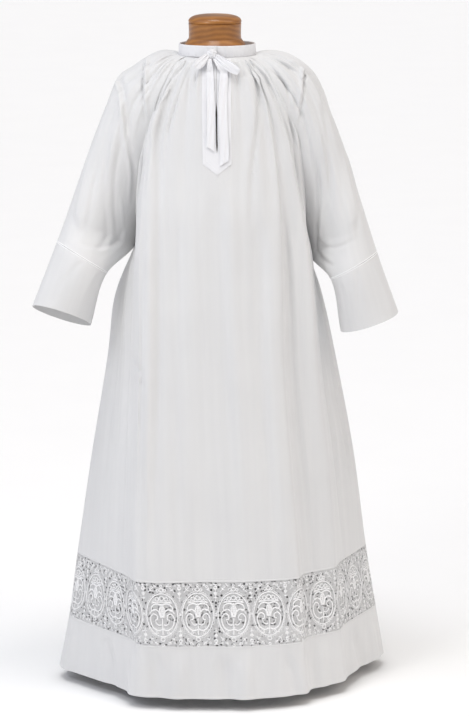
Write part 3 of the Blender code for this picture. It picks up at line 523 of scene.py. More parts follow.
# Folds of the sleeves: heights below 1.0 run on past the arm, to the cuff seam at 0.90
SLEEVE_FOLDS = {
    "left": (
        (0.330, 1.412, 0.300, 0.960, 4.0, 12.0, -3.9),
        (0.250, 1.412, 0.215, 1.100, 3.5, 9.0, 2.3),
        (0.170, 1.412, 0.150, 1.120, 3.5, 9.0, -5.0),
        (0.090, 1.412, 0.090, 1.180, 3.0, 7.0, 3.8),
        (0.405, 1.412, 0.390, 0.950, 4.0, 14.0, 3.0),
        (0.470, 1.412, 0.455, 1.180, 4.0, 12.0, -4.6),
        (0.560, 1.412, 0.560, 1.140, 4.0, 12.0, 4.4),
        (0.650, 1.412, 0.650, 1.050, 4.0, 12.0, -2.8),
        (0.740, 1.412, 0.740, 1.160, 4.0, 11.0, 4.4),
        (0.830, 1.412, 0.830, 1.080, 4.0, 10.0, -2.8),
        (0.910, 1.412, 0.910, 1.160, 3.0, 8.0, 4.0),
        (0.240, 1.260, 0.230, 0.905, 8.0, 12.0, 2.4),
        (0.180, 1.180, 0.165, 0.910, 8.0, 11.0, -3.3),
        (0.310, 1.080, 0.330, 0.905, 7.0, 9.0, -2.0),
        (0.120, 1.080, 0.140, 0.915, 6.0, 9.0, 2.0),
    ),
    "right": (
        (0.090, 1.412, 0.085, 1.120, 3.5, 8.0, -5.4),
        (0.165, 1.412, 0.160, 1.150, 3.5, 8.0, 4.2),
        (0.245, 1.412, 0.220, 1.040, 3.5, 11.0, -3.5),
        (0.325, 1.412, 0.300, 1.120, 3.5, 11.0, 4.6),
        (0.400, 1.412, 0.390, 1.080, 3.5, 12.0, -2.8),
        (0.480, 1.412, 0.475, 1.160, 4.0, 12.0, 4.2),
        (0.570, 1.412, 0.570, 1.080, 4.0, 12.0, -2.6),
        (0.660, 1.412, 0.660, 1.150, 4.0, 11.0, 4.4),
        (0.750, 1.412, 0.750, 1.060, 4.0, 11.0, -2.8),
        (0.840, 1.412, 0.840, 1.160, 3.5, 9.0, 4.2),
        (0.915, 1.412, 0.915, 1.120, 3.0, 8.0, -4.8),
        (0.290, 1.220, 0.310, 0.905, 9.0, 14.0, -2.5),
        (0.200, 1.200, 0.190, 0.905, 8.0, 12.0, 2.5),
        (0.130, 1.120, 0.120, 0.915, 7.0, 10.0, -2.8),
        (0.380, 1.100, 0.400, 0.905, 8.0, 12.0, 2.1),
    ),
}
# Folds of the cuffs, with heights that run on from the sleeves'
CUFF_FOLDS = {
    "left": ((0.22, 0.895, 0.33, 0.765, 6.0, 9.0, -1.6), (0.12, 0.890, 0.16, 0.770, 5.0, 8.0, 1.4),
             (0.42, 0.880, 0.38, 0.765, 6.0, 9.0, 1.3), (0.62, 0.890, 0.66, 0.765, 6.0, 9.0, -1.6),
             (0.83, 0.885, 0.80, 0.770, 6.0, 9.0, 1.5)),
    "right": ((0.25, 0.895, 0.20, 0.765, 6.0, 9.0, -1.8), (0.36, 0.890, 0.42, 0.770, 6.0, 9.0, 1.4),
              (0.12, 0.880, 0.14, 0.765, 5.0, 8.0, -1.4), (0.60, 0.890, 0.57, 0.765, 6.0, 9.0, 1.6),
              (0.80, 0.885, 0.84, 0.770, 6.0, 9.0, -1.5)),
}
# Folds of the hem band, which run on past its foot
HEM_FOLDS = {
    "front": (
        (0.10, 0.190, 0.16, -0.088, 10, 19, -9.3), (0.17, 0.193, 0.20, -0.080, 8, 14, 7.0),
        (0.24, 0.185, 0.30, -0.090, 10, 22, -7.5), (0.33, 0.192, 0.31, -0.075, 13, 22, 6.3),
        (0.44, 0.170, 0.50, -0.090, 13, 24, -7.5), (0.56, 0.192, 0.53, -0.088, 13, 24, 7.0),
        (0.64, 0.188, 0.68, -0.090, 10, 19, -9.3), (0.76, 0.190, 0.74, -0.088, 10, 19, 8.2),
        (0.87, 0.190, 0.91, -0.088, 13, 22, -10.0), (0.94, 0.170, 0.95, -0.088, 10, 19, 7.5),
        (0.05, 0.180, 0.04, -0.086, 10, 19, 8.2),
    ),
    "back": (
        (0.07, 0.190, 0.10, -0.088, 10, 19, -9.3), (0.18, 0.193, 0.16, -0.084, 10, 19, 7.5),
        (0.30, 0.192, 0.34, -0.088, 13, 24, -10.0), (0.42, 0.190, 0.40, -0.088, 13, 24, 8.7),
        (0.52, 0.188, 0.56, -0.090, 13, 24, -9.3), (0.63, 0.192, 0.61, -0.086, 13, 22, 8.2),
        (0.74, 0.190, 0.78, -0.088, 10, 22, -9.3), (0.86, 0.192, 0.84, -0.088, 10, 19, 8.2),
        (0.94, 0.185, 0.96, -0.084, 10, 19, -7.5),
    ),
}

# Folds drawn on the cloth: points (share, height), half width, size and lip, see drawn_folds
FRONT_DRAWN = (
    (((0.004, 1.310), (0.010, 1.253), (0.038, 1.191), (0.060, 1.110), (0.070, 1.020)), -3.6, -8.0, 5.0),
    (((0.250, 1.330), (0.262, 1.230), (0.268, 1.050), (0.266, 0.800), (0.262, 0.550), (0.258, 0.310)),
     -10.0, -6.0, 4.0),
    (((0.020, 1.405), (0.012, 1.385), (0.010, 1.340), (0.080, 1.305), (0.150, 1.285), (0.220, 1.240),
      (0.209, 1.176), (0.205, 1.120)), 4.5, -5.0, 3.4),
    (((0.675, 1.395), (0.668, 1.365), (0.656, 1.325), (0.643, 1.280), (0.630, 1.225), (0.620, 1.160),
      (0.612, 1.060)), -5.5, -5.0, 3.6),
    (((0.940, 1.408), (0.965, 1.393), (0.980, 1.375), (0.954, 1.343), (0.940, 1.300)), 3.0, -3.6, 2.4),
    (((0.796, 1.409), (0.794, 1.370), (0.792, 1.320), (0.790, 1.260), (0.790, 1.190)), 3.6, -4.6, 2.6),
    (((0.990, 1.300), (0.955, 1.255), (0.916, 1.211), (0.880, 1.150), (0.860, 1.050)), 4.0, -7.0, 4.4),
    (((0.330, 1.409), (0.318, 1.370), (0.300, 1.320), (0.290, 1.250), (0.290, 1.170)), -3.4, -3.8, 2.2),
    (((0.250, 1.409), (0.215, 1.370), (0.190, 1.320), (0.180, 1.270)), 3.4, -3.8, 2.2),
    (((0.385, 1.409), (0.375, 1.380), (0.365, 1.340)), 2.6, -3.2, 1.6),
    (((0.598, 1.409), (0.600, 1.385), (0.598, 1.350)), 2.6, -3.2, 1.6),
    (((0.738, 1.409), (0.738, 1.375), (0.736, 1.330), (0.734, 1.270)), 2.8, -3.4, 2.0),
    (((0.885, 1.409), (0.890, 1.370), (0.885, 1.320), (0.880, 1.250)), 3.4, -4.0, 2.4),
    (((0.207, 1.100), (0.206, 0.900), (0.207, 0.600), (0.205, 0.300)), 3.0, 2.4, -1.8),
    (((0.232, 0.780), (0.228, 0.600), (0.232, 0.450), (0.226, 0.298)), 2.6, -2.2, 1.4),
    (((0.165, 1.050), (0.150, 0.850), (0.145, 0.600), (0.150, 0.300)), 8.0, -6.0, 3.0),
    (((0.050, 0.985), (0.085, 0.930), (0.110, 0.840), (0.110, 0.700)), 7.0, -4.6, 3.0),
    (((0.150, 0.790), (0.190, 0.765), (0.240, 0.750)), 2.6, -2.2, 1.6),
    (((0.155, 0.772), (0.200, 0.742), (0.235, 0.722)), 2.2, 1.6, -1.2),
    (((0.735, 1.080), (0.740, 0.900), (0.742, 0.600), (0.745, 0.300)), 6.0, -5.0, 2.8),
    (((0.850, 1.050), (0.858, 0.850), (0.865, 0.600), (0.868, 0.300)), 8.0, -7.0, 4.0),
    (((0.955, 0.960), (0.935, 0.850), (0.930, 0.650), (0.940, 0.420)), 8.0, -5.0, 3.4),
    (((0.490, 1.150), (0.500, 0.950), (0.505, 0.700), (0.515, 0.420)), 14.0, -3.2, 2.0),
    (((0.640, 1.080), (0.640, 0.900), (0.632, 0.650), (0.640, 0.330)), 12.0, -4.0, 2.4),
    (((0.330, 1.120), (0.325, 0.900), (0.318, 0.650), (0.322, 0.330)), 12.0, -3.2, 2.2),
)
BACK_DRAWN = (
    (((0.150, 1.409), (0.130, 1.380), (0.140, 1.330), (0.170, 1.250), (0.180, 1.150)), 4.0, -4.6, 3.0),
    (((0.250, 1.409), (0.270, 1.370), (0.285, 1.310), (0.290, 1.220)), 3.4, -4.0, 2.4),
    (((0.340, 1.409), (0.350, 1.380), (0.355, 1.340)), 3.0, -3.4, 1.8),
    (((0.480, 1.409), (0.485, 1.370), (0.480, 1.320), (0.470, 1.230), (0.470, 1.120)), 4.0, -4.2, 2.4),
    (((0.620, 1.409), (0.615, 1.370), (0.610, 1.310), (0.615, 1.230)), -3.4, -4.0, 2.4),
    (((0.760, 1.409), (0.755, 1.370), (0.740, 1.310), (0.730, 1.220)), -3.4, -4.0, 2.4),
    (((0.880, 1.409), (0.885, 1.380), (0.870, 1.330), (0.840, 1.250), (0.830, 1.150)), -4.0, -4.6, 3.0),
    (((0.300, 1.060), (0.300, 0.850), (0.296, 0.600), (0.300, 0.330)), 14.0, -7.0, 4.0),
    (((0.620, 1.080), (0.610, 0.850), (0.606, 0.600), (0.600, 0.330)), 14.0, -7.0, 4.0),
    (((0.180, 1.000), (0.170, 0.800), (0.172, 0.550), (0.170, 0.310)), 7.0, -5.0, 3.0),
    (((0.840, 1.000), (0.840, 0.800), (0.838, 0.550), (0.835, 0.310)), 7.0, -5.0, 3.0),
    (((0.380, 0.760), (0.430, 0.745), (0.500, 0.752)), 3.0, -2.0, 1.4),
)
SLEEVE_DRAWN = {
    "left": (
        (((0.470, 1.362), (0.414, 1.345), (0.251, 1.325), (0.159, 1.304), (0.067, 1.277),
          (0.020, 1.262)), 3.4, -7.0, 5.0),
        (((0.500, 1.265), (0.439, 1.241), (0.264, 1.223), (0.155, 1.182), (0.071, 1.137),
          (0.060, 1.080)), 5.0, 4.6, -4.2),
        (((0.300, 1.160), (0.250, 1.100), (0.230, 1.040), (0.215, 0.985), (0.200, 0.925)), 7.0, -2.8, 1.8),
        (((0.470, 1.100), (0.440, 1.040), (0.400, 0.990), (0.330, 0.955)), 7.0, -2.0, 1.4),
        (((0.110, 1.040), (0.160, 1.000), (0.210, 0.955), (0.300, 0.930)), 5.0, -2.0, 1.4),
        (((0.090, 1.409), (0.110, 1.385), (0.120, 1.340)), 2.8, -3.6, 2.2),
        (((0.240, 1.411), (0.230, 1.395), (0.225, 1.365)), 2.8, -3.6, 2.2),
        (((0.620, 1.411), (0.640, 1.380), (0.660, 1.320), (0.680, 1.240)), 3.8, -4.4, 2.8),
        (((0.800, 1.200), (0.780, 1.100), (0.760, 1.020), (0.740, 0.950)), 6.0, -4.0, 2.8),
    ),
    "right": (
        (((0.330, 1.362), (0.347, 1.345), (0.372, 1.316), (0.305, 1.301), (0.234, 1.292),
          (0.105, 1.265), (0.020, 1.246)), -3.4, -7.0, 5.0),
        (((0.040, 1.405), (0.071, 1.372), (0.084, 1.334), (0.050, 1.307), (0.020, 1.290)), 3.4, -4.2, 2.8),
        (((0.190, 1.409), (0.215, 1.385), (0.250, 1.345), (0.270, 1.310)), 3.0, -3.8, 2.4),
        (((0.420, 1.240), (0.330, 1.190), (0.250, 1.130), (0.200, 1.060), (0.190, 0.990)), 8.0, -3.0, 2.0),
        (((0.480, 1.090), (0.430, 1.040), (0.380, 0.990), (0.320, 0.945)), 7.0, -2.0, 1.4),
        (((0.100, 1.050), (0.150, 1.010), (0.230, 0.975), (0.330, 0.960)), 5.0, -2.0, 1.4),
        (((0.130, 1.160), (0.110, 1.080), (0.120, 1.000), (0.140, 0.930)), 5.0, -4.0, 2.6),
        (((0.640, 1.411), (0.650, 1.380), (0.670, 1.320), (0.690, 1.240)), 3.8, -4.4, 2.8),
        (((0.800, 1.200), (0.780, 1.100), (0.760, 1.020), (0.740, 0.950)), 6.0, -4.0, 2.8),
    ),
}

# ---------------------------------------------------------------- mesh making


def new_mesh(name, points, faces, smooth_angle=60, uvs=None):
    """A mesh object at the origin from points and faces of three or four corners."""
    points = np.asarray(points, np.float32).reshape(-1, 3)
    mesh = bpy.data.meshes.new(name)
    faces = np.asarray(faces, np.int32)
    mesh.vertices.add(len(points))
    mesh.vertices.foreach_set("co", points.ravel())
    mesh.loops.add(faces.size)
    mesh.loops.foreach_set("vertex_index", faces.ravel())
    mesh.polygons.add(len(faces))
    mesh.polygons.foreach_set("loop_start", np.arange(len(faces), dtype=np.int32) * faces.shape[1])
    mesh.update(calc_edges=True)
    mesh.validate()
    if uvs is not None:
        layer = mesh.uv_layers.new(name="Cloth")
        layer.data.foreach_set("uv", np.asarray(uvs, np.float32)[faces.ravel()].ravel())
    mesh.shade_smooth()
    mesh.set_sharp_from_angle(angle=math.radians(smooth_angle))
    thing = bpy.data.objects.new(name, mesh)
    scene.collection.objects.link(thing)
    return thing


def grid_faces(rows, columns, closed=False, skip=None):
    """Faces of a grid of points, closed round its rows, without those that `skip` picks."""
    i, j = np.meshgrid(np.arange(rows - 1), np.arange(columns if closed else columns - 1),
                       indexing="ij")
    k = (j + 1) % columns
    faces = np.stack((i * columns + j, i * columns + k, (i + 1) * columns + k, (i + 1) * columns + j),
                     axis=-1)
    if skip is not None:
        faces = faces[~skip(i, j)]
    return faces.reshape(-1, 4)


def shell(name, grid, finish, wall=CLOTH, closed=False, skip=None, replaces=None):
    """A thin wall of cloth through a grid of points, with its rim closed."""
    rows, columns = grid.shape[:2]
    run = run_across(grid)
    steps = np.linalg.norm(np.diff(grid, axis=0), axis=2)
    fall = np.concatenate((np.zeros((1, columns)), np.cumsum(steps, axis=0)))
    middle = run[:, columns // 2][:, None]
    uvs = np.stack((run - middle, -fall), axis=-1).reshape(-1, 2)
    thing = new_mesh(name, grid, grid_faces(rows, columns, closed, skip), uvs=uvs)
    solid = thing.modifiers.new("Wall", "SOLIDIFY")
    solid.thickness = wall
    solid.offset = 0.0
    apply_modifiers(thing)
    thing.data.set_sharp_from_angle(angle=math.radians(60))
    return finished(thing, finish, replaces)


def finished(thing, finish, replaces=None):
    """Give a piece its material and its body."""
    thing.data.materials.append(finish)
    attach(thing, "root")
    if replaces:
        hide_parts(*replaces)
    return thing


def pick(thing):
    """Select one object and nothing else."""
    bpy.ops.object.select_all(action="DESELECT")
    thing.select_set(True)
    bpy.context.view_layer.objects.active = thing


def apply_modifiers(thing):
    pick(thing)
    for modifier in list(thing.modifiers):
        bpy.ops.object.modifier_apply(modifier=modifier.name)
    thing.select_set(False)


def set_back(grid, column, neighbour, other, more=0.0):
    """Move an edge in, so that two walls which meet at an angle keep the seam's gap."""
    step = 1 if column == 0 else -1
    other_step = 1 if other == 0 else -1
    reach = 4
    out = unit(grid[:, column] - grid[:, column + reach * step])
    away = unit(neighbour[:, other + reach * other_step] - neighbour[:, other])
    bend = np.arccos(np.clip(np.sum(out * away, axis=1), -1, 1))
    pull = more + GAP / 2 + CLOTH / 2 * np.tan(np.minimum(bend, math.radians(140)) / 2)
    moved = grid.copy()
    for k in range(reach):
        moved[:, column + k * step] -= out * (pull * (1 - k / reach))[:, None]
    return moved


# ---------------------------------------------------------------- materials


class Value:
    """A shader socket that takes part in sums."""

    def __init__(self, finish, socket):
        self.finish = finish
        self.socket = socket

    def math(self, operation, *others):
        return self.finish.node("ShaderNodeMath", {"operation": operation}, self, *others)[0]

    def __add__(self, other):
        return self.math("ADD", other)

    def __sub__(self, other):
        return self.math("SUBTRACT", other)

    def __rsub__(self, other):
        return self.finish.node("ShaderNodeMath", {"operation": "SUBTRACT"}, other, self)[0]

    def __mul__(self, other):
        return self.math("MULTIPLY", other)

    def __truediv__(self, other):
        return self.math("DIVIDE", other)

    __radd__ = __add__
    __rmul__ = __mul__

    def limited(self):
        return self.finish.node("ShaderNodeMath", {"operation": "ADD", "use_clamp": True}, self, 0.0)[0]

    def above(self, low, high):
        """0 up to `low`, 1 from `high` on."""
        return ((self - low) / (high - low)).limited()


class Finish:
    """One material, and the one way in which its nodes are made."""

    def __init__(self, name, **fixed):
        self.material = bpy.data.materials.new(name)
        self.material.use_nodes = True
        self.tree = self.material.node_tree
        self.shader = self.tree.nodes["Principled BSDF"]
        for socket, value in fixed.items():
            self.shader.inputs[socket.replace("_", " ")].default_value = value

    def node(self, kind, settings=None, *values, **named):
        node = self.tree.nodes.new(kind)
        for name, value in (settings or {}).items():
            if name == "stops":
                ramp = node.color_ramp
                for k, (place, colour) in enumerate(value):
                    stop = ramp.elements[k] if k < 2 else ramp.elements.new(place)
                    stop.position = place
                    stop.color = (*colour, 1.0)
            else:
                setattr(node, name, value)
        for key, value in [*enumerate(values), *named.items()]:
            if value is None:
                continue
            socket = node.inputs[key if isinstance(key, int) else key.replace("_", " ")]
            if isinstance(value, Value):
                self.tree.links.new(value.socket, socket)
            else:
                socket.default_value = value
        return [Value(self, socket) for socket in node.outputs]

    def places(self, source="Object", scale=(1, 1, 1)):
        """Coordinates on the piece, stretched."""
        at = self.node("ShaderNodeTexCoord")[{"Object": 3, "UV": 2}[source]]
        return self.node("ShaderNodeMapping", None, at, (0, 0, 0), (0, 0, 0), scale)[0]

    def noise(self, at, scale, detail=2.0, rough=0.5):
        return self.node("ShaderNodeTexNoise", None, Vector=at, Scale=scale, Detail=detail,
                         Roughness=rough)[0]

    def mix(self, factor, first, second):
        """A colour between two others, each of red, green and blue."""
        return self.node("ShaderNodeMix", {"data_type": "RGBA", "blend_type": "MIX"}, factor, None,
                         None, None, None, None, (*first, 1), (*second, 1))[2]

    def feed(self, **links):
        """Link values to the shader's sockets."""
        for name, value in links.items():
            self.tree.links.new(value.socket, self.shader.inputs[name.replace("_", " ")])

    def bump(self, height, distance, strength=1.0, under=None):
        values = {"Strength": strength, "Distance": distance, "Height": height}
        if under is not None:
            values["Normal"] = under
        return self.node("ShaderNodeBump", None, **values)[0]


def threads(across, along, count):
    """Two waves, one for each way of a weave, with `count` threads to the metre."""
    return [(way * (count * math.pi)).math("SINE") for way in (across, along)]


def cloth_finish(name, colour, shade):
    """White poly-cotton: a fine weave, faint slubs along both threads, soft pressed creases."""
    finish = Finish(name, Roughness=0.82, Sheen_Weight=0.25, Sheen_Roughness=0.45,
                    Specular_IOR_Level=0.30)
    across, along, _ = finish.node("ShaderNodeSeparateXYZ", None, finish.places("UV"))
    warp, weft = threads(across, along, 1500.0)
    weave = (warp * warp + weft * weft) * 0.5
    slubs = finish.noise(finish.places("UV", scale=(1.0, 0.05, 1.0)), 420.0, 3.0)
    wefts = finish.noise(finish.places("UV", scale=(0.05, 1.0, 1.0)), 420.0, 3.0)
    streaks = finish.noise(finish.places("UV", scale=(1.0, 0.04, 1.0)), 55.0, 2.0)
    patches = finish.noise(finish.places("Object"), 6.0, 2.0)
    tone = (streaks * 0.5 + patches * 0.5).above(0.32, 0.68)
    finish.feed(Base_Color=finish.mix(tone, shade, colour))
    fine = finish.bump(weave + (slubs + wefts) * 0.9, 0.00009, 0.55)
    rumples = finish.noise(finish.places("UV", scale=(1.0, 0.35, 1.0)), 38.0, 3.0, 0.55)
    soft = finish.bump(rumples + streaks * 0.6, 0.0011, 0.55, fine)
    finish.feed(Normal=soft, Roughness=slubs * 0.10 + 0.76)
    return finish.material


def net_finish():
    """Lace ground: a fine net of crossed threads, clear between them, its white thread painted mid-gray as
    painted shade for the dark inside seen through it.
    """
    finish = Finish("Lace net", Sheen_Weight=0.2, Specular_IOR_Level=0.25)
    at = finish.places("UV")
    across, along, _ = finish.node("ShaderNodeSeparateXYZ", None, at)
    pitch = 0.0028
    sway = finish.noise(finish.places("UV"), 150.0, 2.0) * 0.0012
    slant = sway + along * 0.72
    rise, fall = ((way * (math.pi / pitch)).math("SINE").math("ABSOLUTE")
                  for way in (across + slant, across - slant))
    nearest = rise.math("MINIMUM", fall)
    holes = finish.node("ShaderNodeTexVoronoi", {"feature": "F1"}, at, None, 138.0, 0.0, None, None,
                        None, None, 0.75)[0]
    thread = (1 - nearest.above(0.78, 0.86)) * holes.above(0.32, 0.36)
    uneven = finish.noise(finish.places("UV"), 160.0, 2.0)
    # The net's white thread is painted mid-gray: painted shade for the shaded inside of the alb seen through
    # the net; the noise only varies it at random.
    finish.feed(Base_Color=finish.mix(uneven, (0.55, 0.55, 0.555), (0.66, 0.66, 0.665)),
                Alpha=thread, Normal=finish.bump(thread, 0.0002, 0.6),
                Roughness=uneven * 0.1 + 0.78)
    return finish.material


def thread_finish():
    """Raised lace cord and stitches: twisted white thread."""
    finish = Finish("Lace cord", Sheen_Weight=0.2, Specular_IOR_Level=0.3)
    twist = finish.noise(finish.places("Object"), 900.0, 2.0)
    finish.feed(Base_Color=finish.mix(twist, (0.84, 0.84, 0.85), (0.93, 0.93, 0.93)),
                Roughness=twist * 0.15 + 0.66, Normal=finish.bump(twist, 0.0004, 0.6))
    return finish.material


def linen_finish():
    """Olive linen cover of the form, its colour lightened as painted light for the shade it sits in inside
    the alb.
    """
    finish = Finish("Linen", Sheen_Weight=0.2, Specular_IOR_Level=0.3)
    across, _, along = finish.node("ShaderNodeSeparateXYZ", None, finish.places("Object"))
    warp, weft = threads(across, along, 900)
    slub = finish.noise(finish.places("Object", scale=(1.0, 1.0, 6.0)), 90.0, 3.0)
    # Olive linen's own colour, lightened as painted light to make up for the shade inside the alb; the slub
    # noise varies it at random.
    finish.feed(Base_Color=finish.mix(slub.above(0.3, 0.7), (0.42, 0.37, 0.25), (0.58, 0.52, 0.38)),
                Normal=finish.bump(warp * weft + slub, 0.0002, 0.7), Roughness=slub * 0.1 + 0.8)
    return finish.material


def wood_finish():
    """Orange-brown varnished wood, its grain in bowed bands with a small knot."""
    finish = Finish("Turned wood", Coat_Weight=0.35, Coat_Roughness=0.22, Specular_IOR_Level=0.45)
    warp = finish.noise(finish.places("Object", scale=(1.0, 1.0, 0.6)), 11.0, 3.0, 0.5)
    bowed = finish.node("ShaderNodeCombineXYZ", None, warp * 0.018, warp * 0.020, warp * 0.030)[0]
    at = finish.places("Object")
    for operation, other in (("ADD", bowed), ("SUBTRACT", (0.014, -0.078, 1.385)),
                             ("MULTIPLY", (0.62, 0.35, 1.0))):
        at = finish.node("ShaderNodeVectorMath", {"operation": operation}, at, other)[0]
    ring = finish.node("ShaderNodeVectorMath", {"operation": "LENGTH"}, at)[1]
    bands = (ring * (2 * math.pi / 0.0105)).math("SINE") * 0.5 + 0.5
    fibres = finish.noise(finish.places("Object", scale=(1.0, 1.0, 9.0)), 210.0, 3.0, 0.6)
    broad = finish.noise(finish.places("Object"), 22.0, 2.0)
    grain = (bands * 0.26 + broad * 0.62 + fibres * 0.34).above(0.30, 0.92)
    colour = finish.node("ShaderNodeValToRGB", {"stops": ((0.0, (0.190, 0.066, 0.010)),
                                                           (1.0, (0.450, 0.185, 0.036)),
                                                           (0.50, (0.310, 0.118, 0.018)))}, grain)[0]
    finish.feed(Base_Color=colour, Roughness=fibres * 0.16 + 0.30,
                Normal=finish.bump(bands * 0.5 + fibres, 0.00022, 0.5))
    return finish.material


def steel_finish():
    """Dark satin paint on the stand."""
    finish = Finish("Dark steel", Metallic=0.85, Specular_IOR_Level=0.5)
    speck = finish.noise(finish.places("Object"), 700.0, 3.0)
    wear = finish.noise(finish.places("Object"), 14.0, 3.0).above(0.45, 0.75)
    finish.feed(Base_Color=finish.mix(wear, (0.075, 0.075, 0.08), (0.12, 0.12, 0.125)),
                Roughness=speck * 0.12 + wear * 0.12 + 0.30, Normal=finish.bump(speck, 0.0001, 0.4))
    return finish.material


WHITE = cloth_finish("White cloth", (0.70, 0.70, 0.70), (0.66, 0.66, 0.665))
DOUBLED = cloth_finish("White cloth, doubled", (0.78, 0.78, 0.80), (0.75, 0.75, 0.77))
NET = net_finish()
THREAD = thread_finish()
LINEN = linen_finish()
WOOD = wood_finish()
STEEL = steel_finish()

# ---------------------------------------------------------------- the body of the alb


def runs(*spans):
    """Heights in even steps: start, end and count of each span."""
    heights = []
    for start, end, count in spans:
        heights.extend(np.linspace(start, end, count, endpoint=False))
    return heights


YOKE_ROWS = runs((CUT_TOP, 1.385, 26), (1.385, 1.200, 74), (1.200, 1.000, 50))
SKIRT_ROWS = runs((1.000, LACE_TOP + GAP, 96)) + [LACE_TOP + GAP]
BODY_ROWS = np.array(YOKE_ROWS + SKIRT_ROWS)
LACE_ROWS = np.linspace(LACE_TOP, LACE_FOOT, 30)
HEM_ROWS = np.linspace(LACE_FOOT - GAP, HEM, 34)
FRONT_COLUMNS = np.linspace(0, 1, 189)
BACK_COLUMNS = np.linspace(0, 1, 151)
SLEEVE_COLUMNS = np.linspace(0, 1, 127)
# Stations of the sleeve's end and the cuff's start, with the openwork between them
SLEEVE_END, CUFF_START = 0.990, 1.011


def edge_mask(grid, reach=0.010):
    """0 at a panel's side seams, 1 further in."""
    run = run_across(grid)
    near = np.minimum(run, run[:, -1:] - run) / reach
    t = np.clip(near, 0, 1)
    return t * t * (3 - 2 * t)


def held(out, heights):
    """Folds can't be deep where the cloth is sewn to the band, and are nothing at its cut edge."""
    at_band, further_down, reach, edge = 0.0016, 0.0110, 0.09, 0.006
    limit = (at_band + further_down * fade(heights, CUT_TOP, CUT_TOP - reach))[:, None]
    return np.tanh(out / limit) * limit * fade(heights, CUT_TOP, CUT_TOP - edge)[:, None]


def creased(grid, heights, shares, rows, outward, flat=None, ease=1.0):
    """A surface with its folds; `flat` is a strip without them: its share, half width and foot."""
    out = held(crease(grid, heights, shares, rows), heights) * edge_mask(grid) * ease
    if flat is not None:
        middle, half, foot = flat
        run = run_across(grid)
        at = np.array([np.interp(middle, shares, row) for row in run])
        beside = np.clip((np.abs(run - at[:, None]) - half) / 0.006, 0, 1)
        above = np.clip((np.asarray(heights) - foot) / 0.012, 0, 1)[:, None]
        out *= 1 - above * (1 - beside)
    return grid + normals(grid, outward) * out[..., None]


def slit_width(height):
    """The slit is a spindle: nearly shut at the tie, and widest above its foot."""
    shut, more, opens_at = 0.0007, 0.0052, 0.46
    drop = np.clip((LEVELS["collar"] - height) / SLIT_DROP, 0.0, 1.0)
    opened = np.clip((drop - opens_at) / (1 - opens_at), 0.0, 1.0)
    return shut + more * np.sin(math.pi * opened ** 1.15) ** 0.85


def split(grid, middle, half):
    """Two columns in place of the middle one, each `half` to its own side."""
    left, right = grid[:, middle].copy(), grid[:, middle].copy()
    left[:, 0] -= half
    right[:, 0] += half
    return np.concatenate((grid[:, :middle], left[:, None], right[:, None], grid[:, middle + 1:]), 1)


def arm_height(station):
    """The height that stands for a station past the arm in the tables of folds."""
    return LEVELS["underarm"] - 0.1 * station


def sleeve_surface(side):
    """A sleeve from the band to the cuff seam, and a height for each row."""
    rows = [ring_points(seam_frame(side, height), SLEEVE_COLUMNS, seam_pinch(height))
            for height in YOKE_ROWS]
    stations = np.linspace(0, SLEEVE_END, 56)
    for t in stations:
        rows.append(ring_points(arm_frame(side, t), SLEEVE_COLUMNS, 0.8 * (1 - t) ** 2))
    heights = YOKE_ROWS + list(arm_height(stations) - 1e-4)
    return np.array(rows), np.array(heights)


def set_body_seams(front, back, sleeves):
    """Keep the walls of neighbouring pieces apart along every seam."""
    seam = slice(0, len(YOKE_ROWS))
    below = slice(len(YOKE_ROWS), None)
    clear = SEAM_CLEARANCE * fade(YOKE_ROWS, LEVELS["gusset"] + 0.03, LEVELS["gusset"] - 0.03)
    for side, edge in (("left", 0), ("right", -1)):
        sleeve = sleeves[side]
        for body, column in ((front, 0), (back, -1)):
            kept_body, kept_sleeve = body[seam].copy(), sleeve[seam].copy()
            body[seam] = set_back(kept_body, edge, kept_sleeve, column, clear)
            sleeve[seam] = set_back(kept_sleeve, column, kept_body, edge, clear)
        kept = sleeve[below].copy()
        sleeve[below] = set_back(kept, 0, kept, -1, CLOTH / 2)
        sleeve[below, -5:] = set_back(kept, -1, kept, 0, CLOTH / 2)[:, -5:]
        kept_front, kept_back = front[below].copy(), back[below].copy()
        front[below] = set_back(kept_front, edge, kept_back, edge)
        back[below] = set_back(kept_back, edge, kept_front, edge)


def set_side_seams(front, back):
    """The same for the lace and the hem, which have side seams only."""
    kept_front, kept_back = front.copy(), back.copy()
    for edge in (0, -1):
        front[:] = set_back(front, edge, kept_back, edge)
        back[:] = set_back(back, edge, kept_front, edge)


